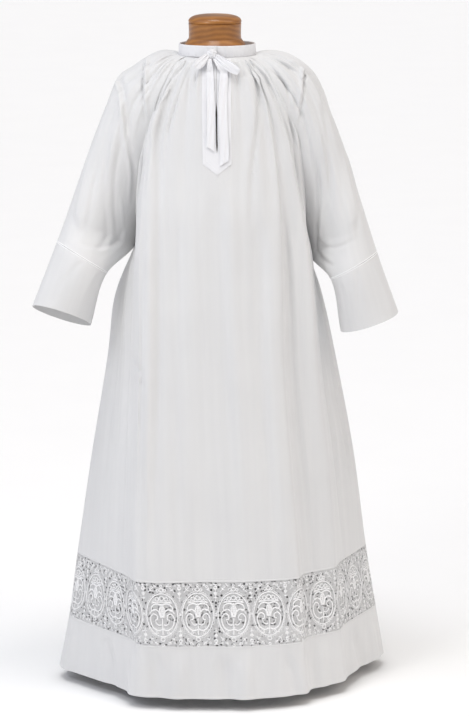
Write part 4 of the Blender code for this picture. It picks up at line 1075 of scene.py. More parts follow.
def make_body():
    """Front, back and sleeves, gathered into the band."""
    front = soften(panel(BODY_ROWS, FRONT_COLUMNS, -1), 2)
    back = soften(panel(BODY_ROWS, BACK_COLUMNS, 1), 2)
    gathers = fine_gathers(15, 0.03, 0.405, 11) + fine_gathers(15, 0.575, 0.97, 12)
    strip = (FRONT_SHARES[5], PLACKET_HALF, LEVELS["collar"] - PLACKET_CORNER)
    front = creased(front, BODY_ROWS, FRONT_COLUMNS, FRONT_FOLDS + tuple(gathers), -1, strip)
    front = drawn_folds(front, BODY_ROWS, FRONT_COLUMNS, -1, FRONT_DRAWN)
    gathers = fine_gathers(34, 0.03, 0.97, 13)
    back = creased(back, BODY_ROWS, BACK_COLUMNS, BACK_FOLDS + tuple(gathers), 1)
    back = drawn_folds(back, BODY_ROWS, BACK_COLUMNS, 1, BACK_DRAWN)
    sleeves = {}
    for side, outward, seed in (("left", 1, 14), ("right", -1, 15)):
        grid, heights = sleeve_surface(side)
        folds = SLEEVE_FOLDS[side] + tuple(fine_gathers(13, 0.05, 0.95, seed))
        grid = creased(grid, heights, SLEEVE_COLUMNS, folds, outward)
        sleeves[side] = drawn_folds(grid, heights, SLEEVE_COLUMNS, outward, SLEEVE_DRAWN[side])
    set_body_seams(front, back, sleeves)
    middle = int(np.argmin(np.abs(FRONT_COLUMNS - FRONT_SHARES[5])))
    slit = split(front, middle, slit_width(BODY_ROWS) / 2)
    open_rows = int(np.sum(BODY_ROWS[1:] >= LEVELS["collar"] - SLIT_DROP))
    shell("front", slit, WHITE, skip=lambda i, j: (j == middle) & (i < open_rows),
          replaces=["front_panel"])
    shell("back", back, WHITE, replaces=["back_panel"])
    for side, grid in sleeves.items():
        shell("sleeve_cloth_" + side, grid, WHITE, replaces=["sleeve_" + side])


def make_cuffs():
    """A deep cuff round each wrist."""
    columns = 120
    stations = np.concatenate((np.linspace(CUFF_START, 2.36, 38), (2.375, 2.39, 2.4)))
    turns = np.arange(columns) / columns
    heights = arm_height(stations)
    for side, outward in (("left", 1), ("right", -1)):
        grid = np.array([ring_points(arm_frame(side, t), turns + 0.5 / columns) for t in stations])
        out = crease(grid, heights, turns, CUFF_FOLDS[side])
        grid = grid + normals(grid, outward) * out[..., None]
        shell("cuff_cloth_" + side, grid, WHITE, wall=DOUBLED_WALL, closed=True,
              replaces=["cuff_" + side])


def surface_at(grid, shares, heights, share, height, outward, lift):
    """Points on a surface by share across and height, moved out by `lift`."""
    normal = normals(grid, outward)
    column = np.interp(share, shares, np.arange(len(shares)))
    row = np.interp(-np.asarray(height), -np.asarray(heights), np.arange(len(heights)))
    i = np.clip(row.astype(int), 0, grid.shape[0] - 2)
    j = np.clip(column.astype(int), 0, grid.shape[1] - 2)
    v, u = (row - i)[..., None], (column - j)[..., None]

    def between(table):
        top = table[i, j] * (1 - u) + table[i, j + 1] * u
        foot = table[i + 1, j] * (1 - u) + table[i + 1, j + 1] * u
        return top * (1 - v) + foot * v
    return between(grid) + between(normal) * np.asarray(lift)[..., None]


# ---------------------------------------------------------------- cords, bands and tapes


def tube_faces(rows, count, closed):
    """Faces of a tube of rings with `count` points each, closed on itself or open."""
    i, j = np.meshgrid(np.arange(rows if closed else rows - 1), np.arange(count), indexing="ij")
    after, beside = (i + 1) % rows, (j + 1) % count
    corners = (i * count + j, i * count + beside, after * count + beside, after * count + j)
    return np.stack(corners, -1).reshape(-1, 4)


def swept(stations, profile, closed=False):
    """Points and faces of a solid run along `stations`: rows of (centre, out, up), each (3,).

    `profile` is a closed loop of (out, up) offsets with an even count of points.
    """
    profile = np.asarray(profile, float)
    centres, outs, ups = (np.array([station[k] for station in stations]) for k in range(3))
    points = (centres[:, None] + outs[:, None] * profile[None, :, :1]
              + ups[:, None] * profile[None, :, 1:])
    rows, count = len(stations), len(profile)
    faces = tube_faces(rows, count, closed)
    if not closed:
        last = (rows - 1) * count
        ends = []
        for m in range(count // 2 - 1):
            ends.append((m + 1, m, count - 1 - m, count - 2 - m))
            ends.append((last + m, last + m + 1, last + count - 2 - m, last + count - 1 - m))
        faces = np.concatenate((faces, np.array(ends)))
    return points.reshape(-1, 3), faces


def joined(parts):
    """Several point and face tables as one."""
    points, faces, start = [], [], 0
    for some_points, some_faces in parts:
        points.append(some_points)
        faces.append(some_faces + start)
        start += len(some_points)
    return np.concatenate(points), np.concatenate(faces)


def face_out(thing):
    """Turn every face of a closed mesh outwards."""
    pick(thing)
    bpy.ops.object.mode_set(mode="EDIT")
    bpy.ops.mesh.select_all(action="SELECT")
    bpy.ops.mesh.normals_make_consistent(inside=False)
    bpy.ops.object.mode_set(mode="OBJECT")
    thing.select_set(False)


def rounded(thick, tall):
    """A long flat profile with round edges."""
    corner = 4
    half, rise = thick / 2, tall / 2 - thick / 2
    loop = []
    for start, centre in ((0.0, rise), (math.pi, -rise)):
        for k in range(corner + 1):
            turn = start + math.pi * k / corner
            loop.append((half * math.cos(turn), centre + half * math.sin(turn)))
    return loop


def along(path, outs):
    """Stations of a cord on a surface: its points, the surface's normals and the way aside."""
    path, outs = np.asarray(path, float), np.asarray(outs, float)
    return list(zip(path, outs, unit(np.cross(outs, np.gradient(path, axis=0)))))


def cord_profile(thick, wide, sides=6):
    """An oval loop for `swept`."""
    turns = (np.arange(sides) + 0.5) * 2 * math.pi / sides
    return [(thick / 2 * math.cos(t), wide / 2 * math.sin(t)) for t in turns]


def stitches(name, lines):
    """Rows of small stitches along paths on a surface: each line is (points, normals)."""
    pitch, length, thick = 0.0032, 0.0022, 0.00045
    parts = []
    for path, outs in lines:
        path, outs = np.asarray(path, float), np.asarray(outs, float)
        run = run_along(path)
        for start in np.arange(0.5 * pitch, run[-1] - length, pitch):
            ends = [[np.interp(start + t * length, run, path[:, k]) for k in range(3)]
                    for t in (0.0, 0.5, 1.0)]
            out = np.array([np.interp(start, run, outs[:, k]) for k in range(3)])
            out /= np.linalg.norm(out)
            ends = np.array(ends) + out * thick * np.array((0.0, 0.5, 0.0))[:, None]
            stations = along(ends, np.tile(out, (3, 1)))
            parts.append(swept(stations, cord_profile(thick, thick * 1.2, 4)))
    thing = new_mesh(name, *joined(parts))
    face_out(thing)
    finished(thing, THREAD)


# ---------------------------------------------------------------- lace and hem

# One repeat of the lace, in millimetres from the middle of its oval: two pairs of curling leaves
# round a wheat ear. Each stroke: its points, its width at the start and at the end.
PITCH = 0.078
OVAL = (34.0, 49.0, 2.0)
LEAVES = (
    (((0.5, -33), (9, -36), (19, -31), (25, -19), (25, -5), (18, 2), (11, -3), (12, -11), (17, -12)),
     2.6, 2.2),
    (((2.0, -22), (7, -24), (13, -20), (15, -14)), 2.4, 1.6),
    (((1.0, -6), (6, 6), (14, 12), (22, 9), (27, 2)), 3.2, 1.6),
    (((1.5, 22), (8, 25), (17, 23), (23, 15), (21, 9), (15, 11)), 3.0, 1.8),
    (((3.0, -6), (5.0, 4), (5.0, 12), (2.0, 20)), 3.4, 2.4),
)
STEMS = (
    (((0, -46), (0, -30), (0, -8)), 2.2, 2.0),
    (((0, 4), (0, 16), (0, 26)), 1.8, 1.8),
    (((-22, 26.5), (-10, 28.5), (0, 29), (10, 28.5), (22, 26.5)), 2.0, 2.0),
)
# Rings: place, radius and thickness
RINGS = (
    (0, 37, 4.6, 2.0), (-10, 35.5, 4.0, 1.9), (10, 35.5, 4.0, 1.9), (-18, 31.5, 2.6, 1.5),
    (18, 31.5, 2.6, 1.5), (0, -56, 4.6, 1.8), (0, -69, 2.6, 1.6), (-13, -41, 2.6, 1.5),
    (13, -41, 2.6, 1.5), (0, 56, 4.2, 1.8), (-7.5, 55, 2.6, 1.5), (7.5, 55, 2.6, 1.5),
    (0, 64.5, 2.4, 1.5), (39, 60, 3.2, 1.7), (39, 47, 2.6, 1.5), (39, -47, 2.8, 1.6),
    (39, -60, 3.2, 1.7), (39, 0, 2.0, 1.4), (-26, -64, 2.0, 1.3), (26, -64, 2.0, 1.3),
    (-20, 62, 2.2, 1.4), (20, 62, 2.2, 1.4), (-13, -67, 1.8, 1.3), (13, -67, 1.8, 1.3),
    (-30, 66, 1.9, 1.3), (30, 66, 1.9, 1.3),
)
# Sprays between the ovals: the foot, the tip and the pairs of leaflets on each
SPRAYS = (
    ((39, 30), (39, 69), 4), ((39, -30), (39, -69), 4), ((29, 50), (12, 68), 2),
    ((49, 50), (66, 68), 2), ((29, -50), (14, -66), 2), ((49, -50), (64, -66), 2),
)


# How much wider each stroke is worked than it is drawn, and how far in the edge cords lie
BOLD = 1.4
EDGE_INSET = 0.0012


def smooth_path(points, step=2.2):
    """A curve through a few points, in even steps."""
    points = np.asarray(points, float)
    run = run_along(points)
    return spline(run, points, np.linspace(0, run[-1], max(int(run[-1] / step), 2) + 1))


def relief(path, start_width, end_width, rise, closed=False, sides=5):
    """A low rounded stroke on the flat: points (across, along, out) in millimetres, and faces."""
    path = np.asarray(path, float)
    if closed:
        ahead = unit(np.roll(path, -1, axis=0) - np.roll(path, 1, axis=0))
    else:
        ahead = unit(np.gradient(path, axis=0))
    aside = np.stack((-ahead[:, 1], ahead[:, 0]), axis=1)
    width = BOLD * np.linspace(start_width, end_width, len(path))
    turns = (np.arange(sides) * 2 + 0.5 * (sides % 2 == 0)) * math.pi / sides
    across = path[:, None] + aside[:, None] * (width[:, None] / 2 * np.cos(turns))[..., None]
    out = np.broadcast_to(rise / 2 * (0.8 + np.sin(turns)), across.shape[:2])
    points = np.concatenate((across, out[..., None]), axis=2)
    return points.reshape(-1, 3), tube_faces(len(path), sides, closed)


def ring_path(x, y, half_width, half_height, count, lobes=0, swing=0.0):
    """An oval, with its edge drawn in scallops if it has lobes."""
    turns = np.arange(count) * 2 * math.pi / count
    reach = 1 + swing * np.abs(np.sin(lobes * turns / 2))
    return np.stack((x + half_width * reach * np.cos(turns), y + half_height * reach * np.sin(turns)), 1)


def leaflet(foot, tip, width):
    """A small pointed leaf."""
    path = np.linspace(foot, tip, 4)
    points, faces = relief(path, 1.0, 1.0, 0.9, sides=4)
    shaped = points.reshape(4, 4, 3)
    for row, wide in enumerate((0.35, 1.0, 0.8, 0.15)):
        middle = path[row]
        shaped[row, :, :2] = middle + (shaped[row, :, :2] - middle) * wide * width
    return shaped.reshape(-1, 3), faces


def lace_repeat():
    """Every stroke of one repeat, as one table of points and faces."""
    half_width, half_height, stroke = OVAL
    parts = [relief(ring_path(0, -1, half_width, half_height, 60), stroke, stroke, 1.1, True),
             relief(ring_path(0, -1, half_width + 1.7, half_height + 2.2, 132, 44, 0.045), 1.0, 1.0,
                    0.8, True, 4)]
    for side in (-1, 1):
        for points, start, end in LEAVES:
            path = smooth_path(np.array(points) * (side, 1))
            parts.append(relief(path, start, end, 1.2))
    for points, start, end in STEMS:
        parts.append(relief(smooth_path(points), start, end, 1.1))
    for x, y, radius, stroke in RINGS:
        parts.append(relief(ring_path(x, y, radius, radius, 10), stroke, stroke, 0.9, True, 4))
    for k in range(6):
        for side in (-1, 1):
            foot = (0, -4 + 4.6 * k)
            parts.append(leaflet(foot, (side * 3.4, foot[1] + 5.4), 2.4))
    for foot, tip, pairs in SPRAYS:
        foot, tip = np.array(foot, float), np.array(tip, float)
        parts.append(relief(np.linspace(foot, tip, 6), 1.2, 0.9, 0.8, sides=4))
        ahead = (tip - foot) / np.linalg.norm(tip - foot)
        aside = np.array((-ahead[1], ahead[0]))
        for k in range(pairs):
            root = foot + (tip - foot) * (k + 0.6) / pairs
            for side in (-1, 1):
                parts.append(leaflet(root, root + ahead * 3.4 + aside * side * 4.6, 2.0))
    points, faces = joined(parts)
    return points / 1000, faces


def make_lace(name, grid, heights, shares, outward, first):
    """The net with its raised pattern, in repeats by length across the band."""
    shell(name + "_net", grid, NET, wall=NET_WALL, replaces=[name])
    clear = 0.002
    row = run_across(grid)[len(heights) // 2]
    width = row[-1]
    middle_height = (LACE_TOP + LACE_FOOT) / 2
    points, faces = lace_repeat()
    parts = []
    for k in range(int(width / PITCH) + 2):
        across = first + k * PITCH + points[:, 0]
        inside = (across > clear) & (across < width - clear)
        kept = inside[faces].all(axis=1)
        if not kept.any():
            continue
        share = np.interp(across, row, shares)
        height = np.clip(middle_height + points[:, 1], LACE_FOOT + 0.001, LACE_TOP - 0.001)
        placed = surface_at(grid, shares, heights, share, height, outward, points[:, 2] + 0.0001)
        used = np.unique(faces[kept])
        number = np.full(len(points), -1)
        number[used] = np.arange(len(used))
        parts.append((placed[used], number[faces[kept]]))
    pattern = new_mesh(name + "_pattern", *joined(parts), smooth_angle=180)
    finished(pattern, THREAD)


def edge_cord(name, grid, heights, shares, height, outward):
    """A narrow turned edge that runs across a band at one height."""
    thick, wide, lift = 0.0016, 0.0042, 0.0004
    at = np.linspace(0.004, 0.996, 420)
    level = np.full(at.shape, height)
    path = surface_at(grid, shares, heights, at, level, outward, np.full(at.shape, lift))
    above = surface_at(grid, shares, heights, at, level, outward, np.full(at.shape, lift + 0.01))
    outs = (above - path) / 0.01
    thing = new_mesh(name, *swept(along(path, outs), cord_profile(thick, wide, 8)))
    face_out(thing)
    finished(thing, WHITE)


def make_bands():
    """Lace insertion and hem band, front and back, with the narrow seams between them."""
    cuts = {}
    ease = fade(HEM_ROWS, LACE_FOOT - 0.002, LACE_FOOT - 0.060)[:, None]
    for part, shares, facing in (("front", FRONT_COLUMNS, -1), ("back", BACK_COLUMNS, 1)):
        lace, hem = (soften(panel(rows, shares, facing), 3) for rows in (LACE_ROWS, HEM_ROWS))
        cuts[part] = (lace, creased(hem, HEM_ROWS, shares, HEM_FOLDS[part], facing, ease=ease))
    for front, back in zip(cuts["front"], cuts["back"]):
        set_side_seams(front, back)
    for part, shares, facing, first in (("front", FRONT_COLUMNS, -1, 0.030),
                                        ("back", BACK_COLUMNS, 1, 0.045)):
        lace, hem = cuts[part]
        make_lace("lace_" + part, lace, LACE_ROWS, shares, facing, first)
        shell("hem_band_" + part, hem, WHITE, wall=HEM_WALL, replaces=["hem_" + part])
        for place, height in (("top", LACE_TOP - EDGE_INSET), ("foot", LACE_FOOT + EDGE_INSET)):
            edge_cord(f"lace_edge_{place}_{part}", lace, LACE_ROWS, shares, height, facing)


# ---------------------------------------------------------------- neckband, placket and tie


def make_neckband():
    """A narrow band, folded double, its left end lapped over its right beside the slit."""
    under_end, over_end = -0.042, 0.004
    start = -math.acos((under_end - NECK_X) / BAND_HALF_WIDTH)
    end = 2 * math.pi - math.acos((over_end - NECK_X) / BAND_HALF_WIDTH)
    tall = BAND_TOP - BAND_FOOT
    steps = 320
    lap = 0.0034
    stations = []
    for k in range(steps + 1):
        turn = start + (end - start) * k / steps
        over = lap * float(fade(-turn, -(end - 0.95), -(end - 0.60)))
        ripple = 0.0003 * math.sin(turn * 37) + 0.0002 * math.sin(turn * 61 + 1.0)
        reach = over + ripple - 0.0004
        out = np.array((math.cos(turn), math.sin(turn), 0.0))
        centre = np.array((NECK_X + (BAND_HALF_WIDTH + reach) * out[0],
                           (BAND_HALF_DEPTH + reach) * out[1],
                           BAND_FOOT + tall / 2 + 0.2 * over))
        up = np.array((-0.04 * out[0], -0.04 * out[1], 1.0))
        stations.append((centre, out, up))
    profile = rounded(0.0024, tall)
    swell = [(x + 0.0004 * math.cos(math.pi * y / tall), y - 0.0005 * (y < 0)) for x, y in profile]
    band = new_mesh("neckband_cloth", *swept(stations, swell))
    face_out(band)
    finished(band, DOUBLED, ["neckband"])
    lines = []
    on_face = 0.00155
    for rise in (-0.0095, 0.0095):
        path = [centre + out * on_face + up * rise for centre, out, up in stations[2:-2]]
        lines.append((path, [out for _, out, _ in stations[2:-2]]))
    stitches("neckband_stitching", lines)


def strip_points(offsets, heights, lift):
    """Points on the flat strip down the middle of the front: a row for each height, moved out."""
    stops = FRONT_SHARES[4:7]
    reach = (stops[2] - stops[0]) / 2
    offsets, heights = np.asarray(offsets, float), np.asarray(heights, float)
    lifts = np.broadcast_to(np.asarray(lift, float), heights.shape)
    rows = []
    step = 0.003
    for row_offsets, height, rise in zip(offsets, heights, lifts):
        shares = stops[1] + reach * row_offsets / PLACKET_HALF
        near = [panel((h,), shares, -1)[0] for h in (height + step, height, height - step)]
        out = np.cross(near[2] - near[0], (1, 0, 0))
        out /= np.linalg.norm(out, axis=1, keepdims=True)
        rows.append(near[1] + out * rise)
    return np.array(rows)


def stitch_line(path):
    """A line of stitching on the placket: its points and the way out at each."""
    lift = 0.00175
    points = np.array([strip_points([[x]], [z], [lift])[0, 0] for x, z in path])
    return points, np.tile((0.0, -1.0, 0.12), (len(points), 1))


def make_placket():
    """A stitched facing with a pointed foot, open down the slit."""
    top = LEVELS["collar"]
    middle, open_rows = 15, 75
    offsets = np.concatenate((np.linspace(-PLACKET_HALF, 0, middle + 1),
                              np.linspace(0, PLACKET_HALF, middle + 1)[1:]))
    heights = np.concatenate((np.linspace(top - 0.002, top - SLIT_DROP, open_rows + 1),
                              np.linspace(top - SLIT_DROP, top - PLACKET_CORNER, 10)[1:]))
    point = PLACKET_POINT - PLACKET_CORNER
    rows = [np.full(len(offsets), height) for height in heights]
    base = strip_points([offsets] * len(heights), heights, CLOTH + GAP)
    foot = []
    for t in np.linspace(0, 1, 8)[1:]:
        drops = top - PLACKET_CORNER - t * point * (1 - np.abs(offsets) / PLACKET_HALF)
        row = [strip_points([[o]], [h], [CLOTH + GAP])[0, 0] for o, h in zip(offsets, drops)]
        foot.append(row)
        rows.append(drops)
    grid = np.concatenate((base, np.array(foot)))
    rows = np.array(rows)
    grid[..., 1] -= 0.0007 * np.sin(rows * 95 + np.sign(offsets) * 0.8) * np.abs(offsets) / PLACKET_HALF
    half = np.concatenate((slit_width(heights) / 2, np.full(len(foot), 0.0004)))
    shell("placket_cloth", split(grid, middle, half), DOUBLED, wall=DOUBLED_WALL,
          skip=lambda i, j: (j == middle) & (i < open_rows), replaces=["placket"])
    edges, outline = [], []
    inset = 0.0022
    for height in np.linspace(top - 0.004, top - PLACKET_CORNER + 0.001, 60):
        outline.append((-PLACKET_HALF + inset, height))
    for t in np.linspace(0, 1, 14):
        outline.append(((t - 1) * (PLACKET_HALF - inset), top - PLACKET_CORNER + inset - t * point))
    mirrored = [(-x, z) for x, z in reversed(outline)]
    second_row = 0.0062
    for gap_in in (0.0, second_row):
        edges.append(stitch_line(
            [(x * (1 - gap_in / PLACKET_HALF), z + gap_in * (z < top - PLACKET_CORNER + 0.004))
             for x, z in outline + mirrored]))
    for side in (-1, 1):
        edges.append(stitch_line(
            [(side * (float(slit_width(height)) / 2 + 0.0024), height)
             for height in np.linspace(top - 0.010, top - SLIT_DROP - 0.006, 50)]))
    stitches("placket_stitching", edges)


def make_knot():
    """The tie's knot: a soft squarish wrap, with the folds of the cloth drawn round it."""
    centre = np.array((-0.0065, -0.0897, 1.4255))
    half = np.array((0.0108, 0.0064, 0.0104))
    rows, columns = 40, 64
    tilt = np.linspace(0.02, math.pi - 0.02, rows)[:, None]
    turn = (np.arange(columns) * 2 * math.pi / columns)[None, :]

    def squared(value, power):
        return np.sign(value) * np.abs(value) ** power
    x = squared(np.sin(tilt), 0.7) * squared(np.cos(turn), 0.75)
    y = squared(np.sin(tilt), 0.7) * squared(np.sin(turn), 0.85)
    z = squared(np.cos(tilt) * np.ones_like(turn), 0.8)
    fold = (0.10 * np.sin(5.2 * x + 2.4 * z + 0.6) + 0.06 * np.sin(9.0 * x - 3.0 * z)
            + 0.05 * np.sin(13 * z + 4 * x))
    shape = 1 + fold * (y < 0.4)
    pinch = 1 - 0.16 * np.abs(z) ** 2
    grid = np.stack((centre[0] + half[0] * x * shape * pinch, centre[1] + half[1] * y * shape,
                     centre[2] + half[2] * z * (1 + 0.4 * fold)), axis=-1)
    run, steps = np.meshgrid(np.linspace(0, 0.06, columns), np.linspace(0, 0.03, rows))
    faces = grid_faces(rows, columns, closed=True)
    points = np.concatenate((grid.reshape(-1, 3), [grid[0].mean(axis=0)], [grid[-1].mean(axis=0)]))
    uvs = np.concatenate((np.stack((run, steps), -1).reshape(-1, 2), [(0.03, 0.0)], [(0.03, 0.03)]))
    last = (rows - 1) * columns
    caps = []
    for j in range(0, columns, 2):
        a, b, c = j, (j + 1) % columns, (j + 2) % columns
        caps.append((rows * columns, c, b, a))
        caps.append((rows * columns + 1, last + a, last + b, last + c))
    knot = new_mesh("tie_knot_cloth", points, np.concatenate((faces, caps)), 180, uvs)
    face_out(knot)
    finished(knot, DOUBLED, ["tie_knot"])


def make_loop(name, root, tip, half_width, fullness, droop, seed):
    """A bow loop: a tape out from the knot, round its tip and back, gathered at the knot."""
    root, tip = np.array(root), np.array(tip)
    length = np.linalg.norm(tip - root)
    ahead = (tip - root) / length
    across = unit(np.cross(ahead, (0, -1, 0)))
    out = np.cross(across, ahead)
    if out[1] > 0:
        out = -out
    draw = np.random.default_rng(seed)
    phase = draw.uniform(0, 6, 4)
    steps = 72
    rows = []
    for k in range(steps + 1):
        turn = 2 * math.pi * k / steps
        t = (1 - math.cos(turn)) / 2
        side = math.sin(turn)
        open_by = fullness * side * (1.0 - 0.1 * t) + 0.0006 * (1 if k < steps // 2 else -1) * (1 - t)
        width = half_width * (0.46 + 0.54 * min(t * 1.9, 1.0) ** 0.7)
        width *= 1 - 0.36 * max((t - 0.62) / 0.38, 0.0) ** 2.2
        centre = root + ahead * length * t + out * open_by + np.array((0, 0, -droop * math.sin(math.pi * t)))
        row = []
        for s in np.linspace(-1, 1, 21):
            pleat = ((0.0011 * math.sin(7.5 * s + phase[0]) + 0.0007 * math.sin(13 * s + phase[1]))
                     * (1 - t) ** 1.2 + 0.0006 * math.sin(4 * s + 5 * t + phase[2]) * t)
            cup = -0.0010 * s * s * t * side
            row.append(centre + across * s * width + out * (pleat + cup))
        rows.append(row)
    shell(name, np.array(rows), DOUBLED, wall=TAPE_WALL, replaces=[name.replace("_cloth", "")])


def make_tail(name, offset, start, end_drop, half_width, slant, seed):
    """A tie end: out of the knot, over the edge of the band and down to a slanting cut."""
    top = LEVELS["collar"]
    draw = np.random.default_rng(seed)
    phase = draw.uniform(0, 6, 3)
    across = np.linspace(-1, 1, 19)
    lift = 0.0046
    start = np.array(start)
    drops = np.linspace(0.030, end_drop, 70)
    widths = half_width * np.clip(0.80 + drops * 2.2, 0, 1)
    sway = 0.0010 * np.sin(drops * 38 + phase[0])
    ends = np.clip((drops - (end_drop - 0.03)) / 0.03, 0, 1)
    rows = []
    for drop, width, aside, end in zip(drops, widths, sway, ends):
        twist = 0.0009 * math.sin(drop * 30 + phase[1])
        rise = lift + twist * across + 0.0005 * np.sin(5 * across + drop * 60 + phase[2])
        rows.append(np.stack((offset + aside + across * width, top - drop - across * slant * end, rise), 1))
    landed = strip_rows(np.array(rows))
    first = landed[0]
    lead_rows = 12
    lead = []
    for k in range(lead_rows):
        t = k / lead_rows
        width = half_width * (0.45 + 0.35 * t)
        centre = start + (first.mean(axis=0) - start) * t
        centre = centre + np.array((0, -0.0042 * math.sin(math.pi * t ** 0.8), 0.0))
        pleat = 0.0010 * np.sin(6 * across + phase[0]) * (1 - t)
        row = centre + np.stack((across * width, -pleat, np.zeros_like(across)), axis=1)
        lead.append(row + (first - first.mean(axis=0) - np.stack(
            (across * half_width * 0.8, 0 * across, 0 * across), axis=1)) * t)
    grid = np.concatenate((np.array(lead), landed))
    shell(name, grid, DOUBLED, wall=TAPE_WALL, replaces=[name.replace("_cloth", "")])


STRIP_ROWS = np.linspace(LEVELS["collar"] - 0.001, 1.14, 90)
STRIP_OFFSETS = np.linspace(-PLACKET_HALF, PLACKET_HALF, 9)
STRIP = strip_points([STRIP_OFFSETS] * len(STRIP_ROWS), STRIP_ROWS, 0.0)


def strip_rows(table):
    """`strip_points` for a table of (offset, height, lift), through a ready-made fine strip."""
    return surface_at(STRIP, np.linspace(0, 1, len(STRIP_OFFSETS)), STRIP_ROWS,
                      (table[..., 0] + PLACKET_HALF) / (2 * PLACKET_HALF), table[..., 1], -1,
                      table[..., 2])


def make_tie():
    """The knot, two loops and two ends, each with its own small folds."""
    make_knot()
    make_loop("tie_loop_left_cloth", (-0.0150, -0.0925, 1.4235), (-0.0420, -0.1120, 1.3985),
              0.0100, 0.0042, 0.0010, 41)
    make_loop("tie_loop_right_cloth", (0.0020, -0.0925, 1.4215), (0.0520, -0.1140, 1.3885),
              0.0104, 0.0046, 0.0014, 42)
    make_tail("tie_tail_left_cloth", -0.0128, (-0.0110, -0.0960, 1.4160), 0.188, 0.0085, 0.005, 43)
    make_tail("tie_tail_right_cloth", 0.0148, (0.0005, -0.0960, 1.4160), 0.219, 0.0098, -0.006, 44)


def make_ladders():
    """Hemstitching between sleeve and cuff: small bars across the gap, between two bound edges."""
    count = 240
    turns = np.linspace(0, 1, count + 1)[:-1]
    bar = cord_profile(0.0009, 0.0009)
    for side in ("left", "right"):
        top = ring_points(arm_frame(side, SLEEVE_END), turns)
        foot = ring_points(arm_frame(side, CUFF_START), turns)
        outs = unit(top - top.mean(axis=0))
        down_way = unit(foot - top)
        parts = []
        for path in (top - down_way * 0.0006, foot + down_way * 0.0006):
            stations = list(zip(path + outs * 0.0002, outs, down_way))
            parts.append(swept(stations, cord_profile(0.0018, 0.0022, 8), closed=True))
        for k in range(0, count, 2):
            ends = np.array([top[k] + (foot[k] - top[k]) * t for t in (-0.15, 0.5, 1.15)])
            ends += outs[k] * 0.0003
            around = np.cross(outs[k], down_way[k])
            parts.append(swept([(end, outs[k], around) for end in ends], bar))
        ladder = new_mesh("hemstitch_" + side, *joined(parts))
        face_out(ladder)
        finished(ladder, THREAD)


# ---------------------------------------------------------------- dress form and stand


def turned(name, sections, sides, finish, slot, replaces, sharp):
    """A turned or padded core: one ring, drawn up and resized from section to section."""
    bpy.ops.object.select_all(action="DESELECT")
    height, half_width, half_depth = sections[0]
    bpy.ops.mesh.primitive_circle_add(vertices=sides, radius=1.0, fill_type="NGON",
                                      location=(0, 0, height), scale=(1, 1, 1))
    thing = bpy.context.object
    thing.name = name
    thing.data.name = name
    bpy.ops.object.mode_set(mode="EDIT")
    bpy.ops.mesh.select_all(action="SELECT")
    bpy.ops.transform.resize(value=(half_width, half_depth, 1), center_override=(0, 0, height))
    for before, after in zip(sections, sections[1:]):
        rise = {"value": (0, 0, after[0] - before[0])}
        bpy.ops.mesh.extrude_region_move(TRANSFORM_OT_translate=rise)
        bpy.ops.transform.resize(value=(after[1] / before[1], after[2] / before[2], 1),
                                 center_override=(0, 0, after[0]))
    bpy.ops.mesh.select_all(action="SELECT")
    bpy.ops.mesh.normals_make_consistent(inside=False)
    bpy.ops.object.mode_set(mode="OBJECT")
    bpy.ops.object.transform_apply(location=True, rotation=True, scale=True)
    bpy.ops.object.shade_smooth_by_angle(angle=math.radians(sharp))
    thing.select_set(False)
    finished(thing, finish, replaces)


# Torso, from the neck down: height, half width and half depth
TORSO = (
    (1.4098, 0.066, 0.064), (1.4030, 0.095, 0.067), (1.3880, 0.142, 0.068), (1.3620, 0.170, 0.074),
    (1.3150, 0.168, 0.084), (1.2500, 0.146, 0.098), (1.1700, 0.138, 0.110), (1.0900, 0.132, 0.108),
    (1.0000, 0.120, 0.096), (0.9000, 0.134, 0.108), (0.8200, 0.150, 0.120), (0.7600, 0.152, 0.122),
    (0.7200, 0.148, 0.118),
)


def make_form():
    """The dress form: its cover, its neck block's cap, groove and flare, and the steel stand."""
    steps = np.arange(len(TORSO))
    finer = spline(steps, TORSO, np.linspace(0, len(TORSO) - 1, 61))[::-1]
    turned("torso_cover", [tuple(row) for row in finer], 96, LINEN, "linen", ["torso"], 60)
    outline = [(1.4101, 0.0660), (1.4360, 0.0668), (1.4388, 0.0668), (1.4392, 0.0664)]
    outline += [(1.4398 + 0.0108 * t, 0.0658 - 0.0080 * t) for t in np.linspace(0, 1, 3)]
    outline += [(1.4507 + 0.0329 * t, 0.0572 - 0.0004 * math.sin(math.pi * t) + 0.0004 * t)
                for t in np.linspace(0, 1, 9)]
    outline += [(1.4842, 0.0570), (1.4848, 0.0563), (1.4855, 0.0571), (1.4861, 0.0579)]
    for k in range(17):
        turn = math.pi / 2 * (k / 16) * 0.97
        outline.append((1.4885 + 0.0145 * math.sin(turn), 0.0182 + 0.0396 * math.cos(turn) ** 0.8))
    outline += [(1.50303, 0.0120)]
    turned("neck_block_wood", [(z, r, r) for z, r in outline], 128, WOOD, "wood", ["neck_block"], 30)
    for node in ("pole", "pole_socket", "stand_foot"):
        thing = bpy.data.objects[node]
        for slot in thing.material_slots:
            slot.material = STEEL


# ---------------------------------------------------------------- light, floor and camera


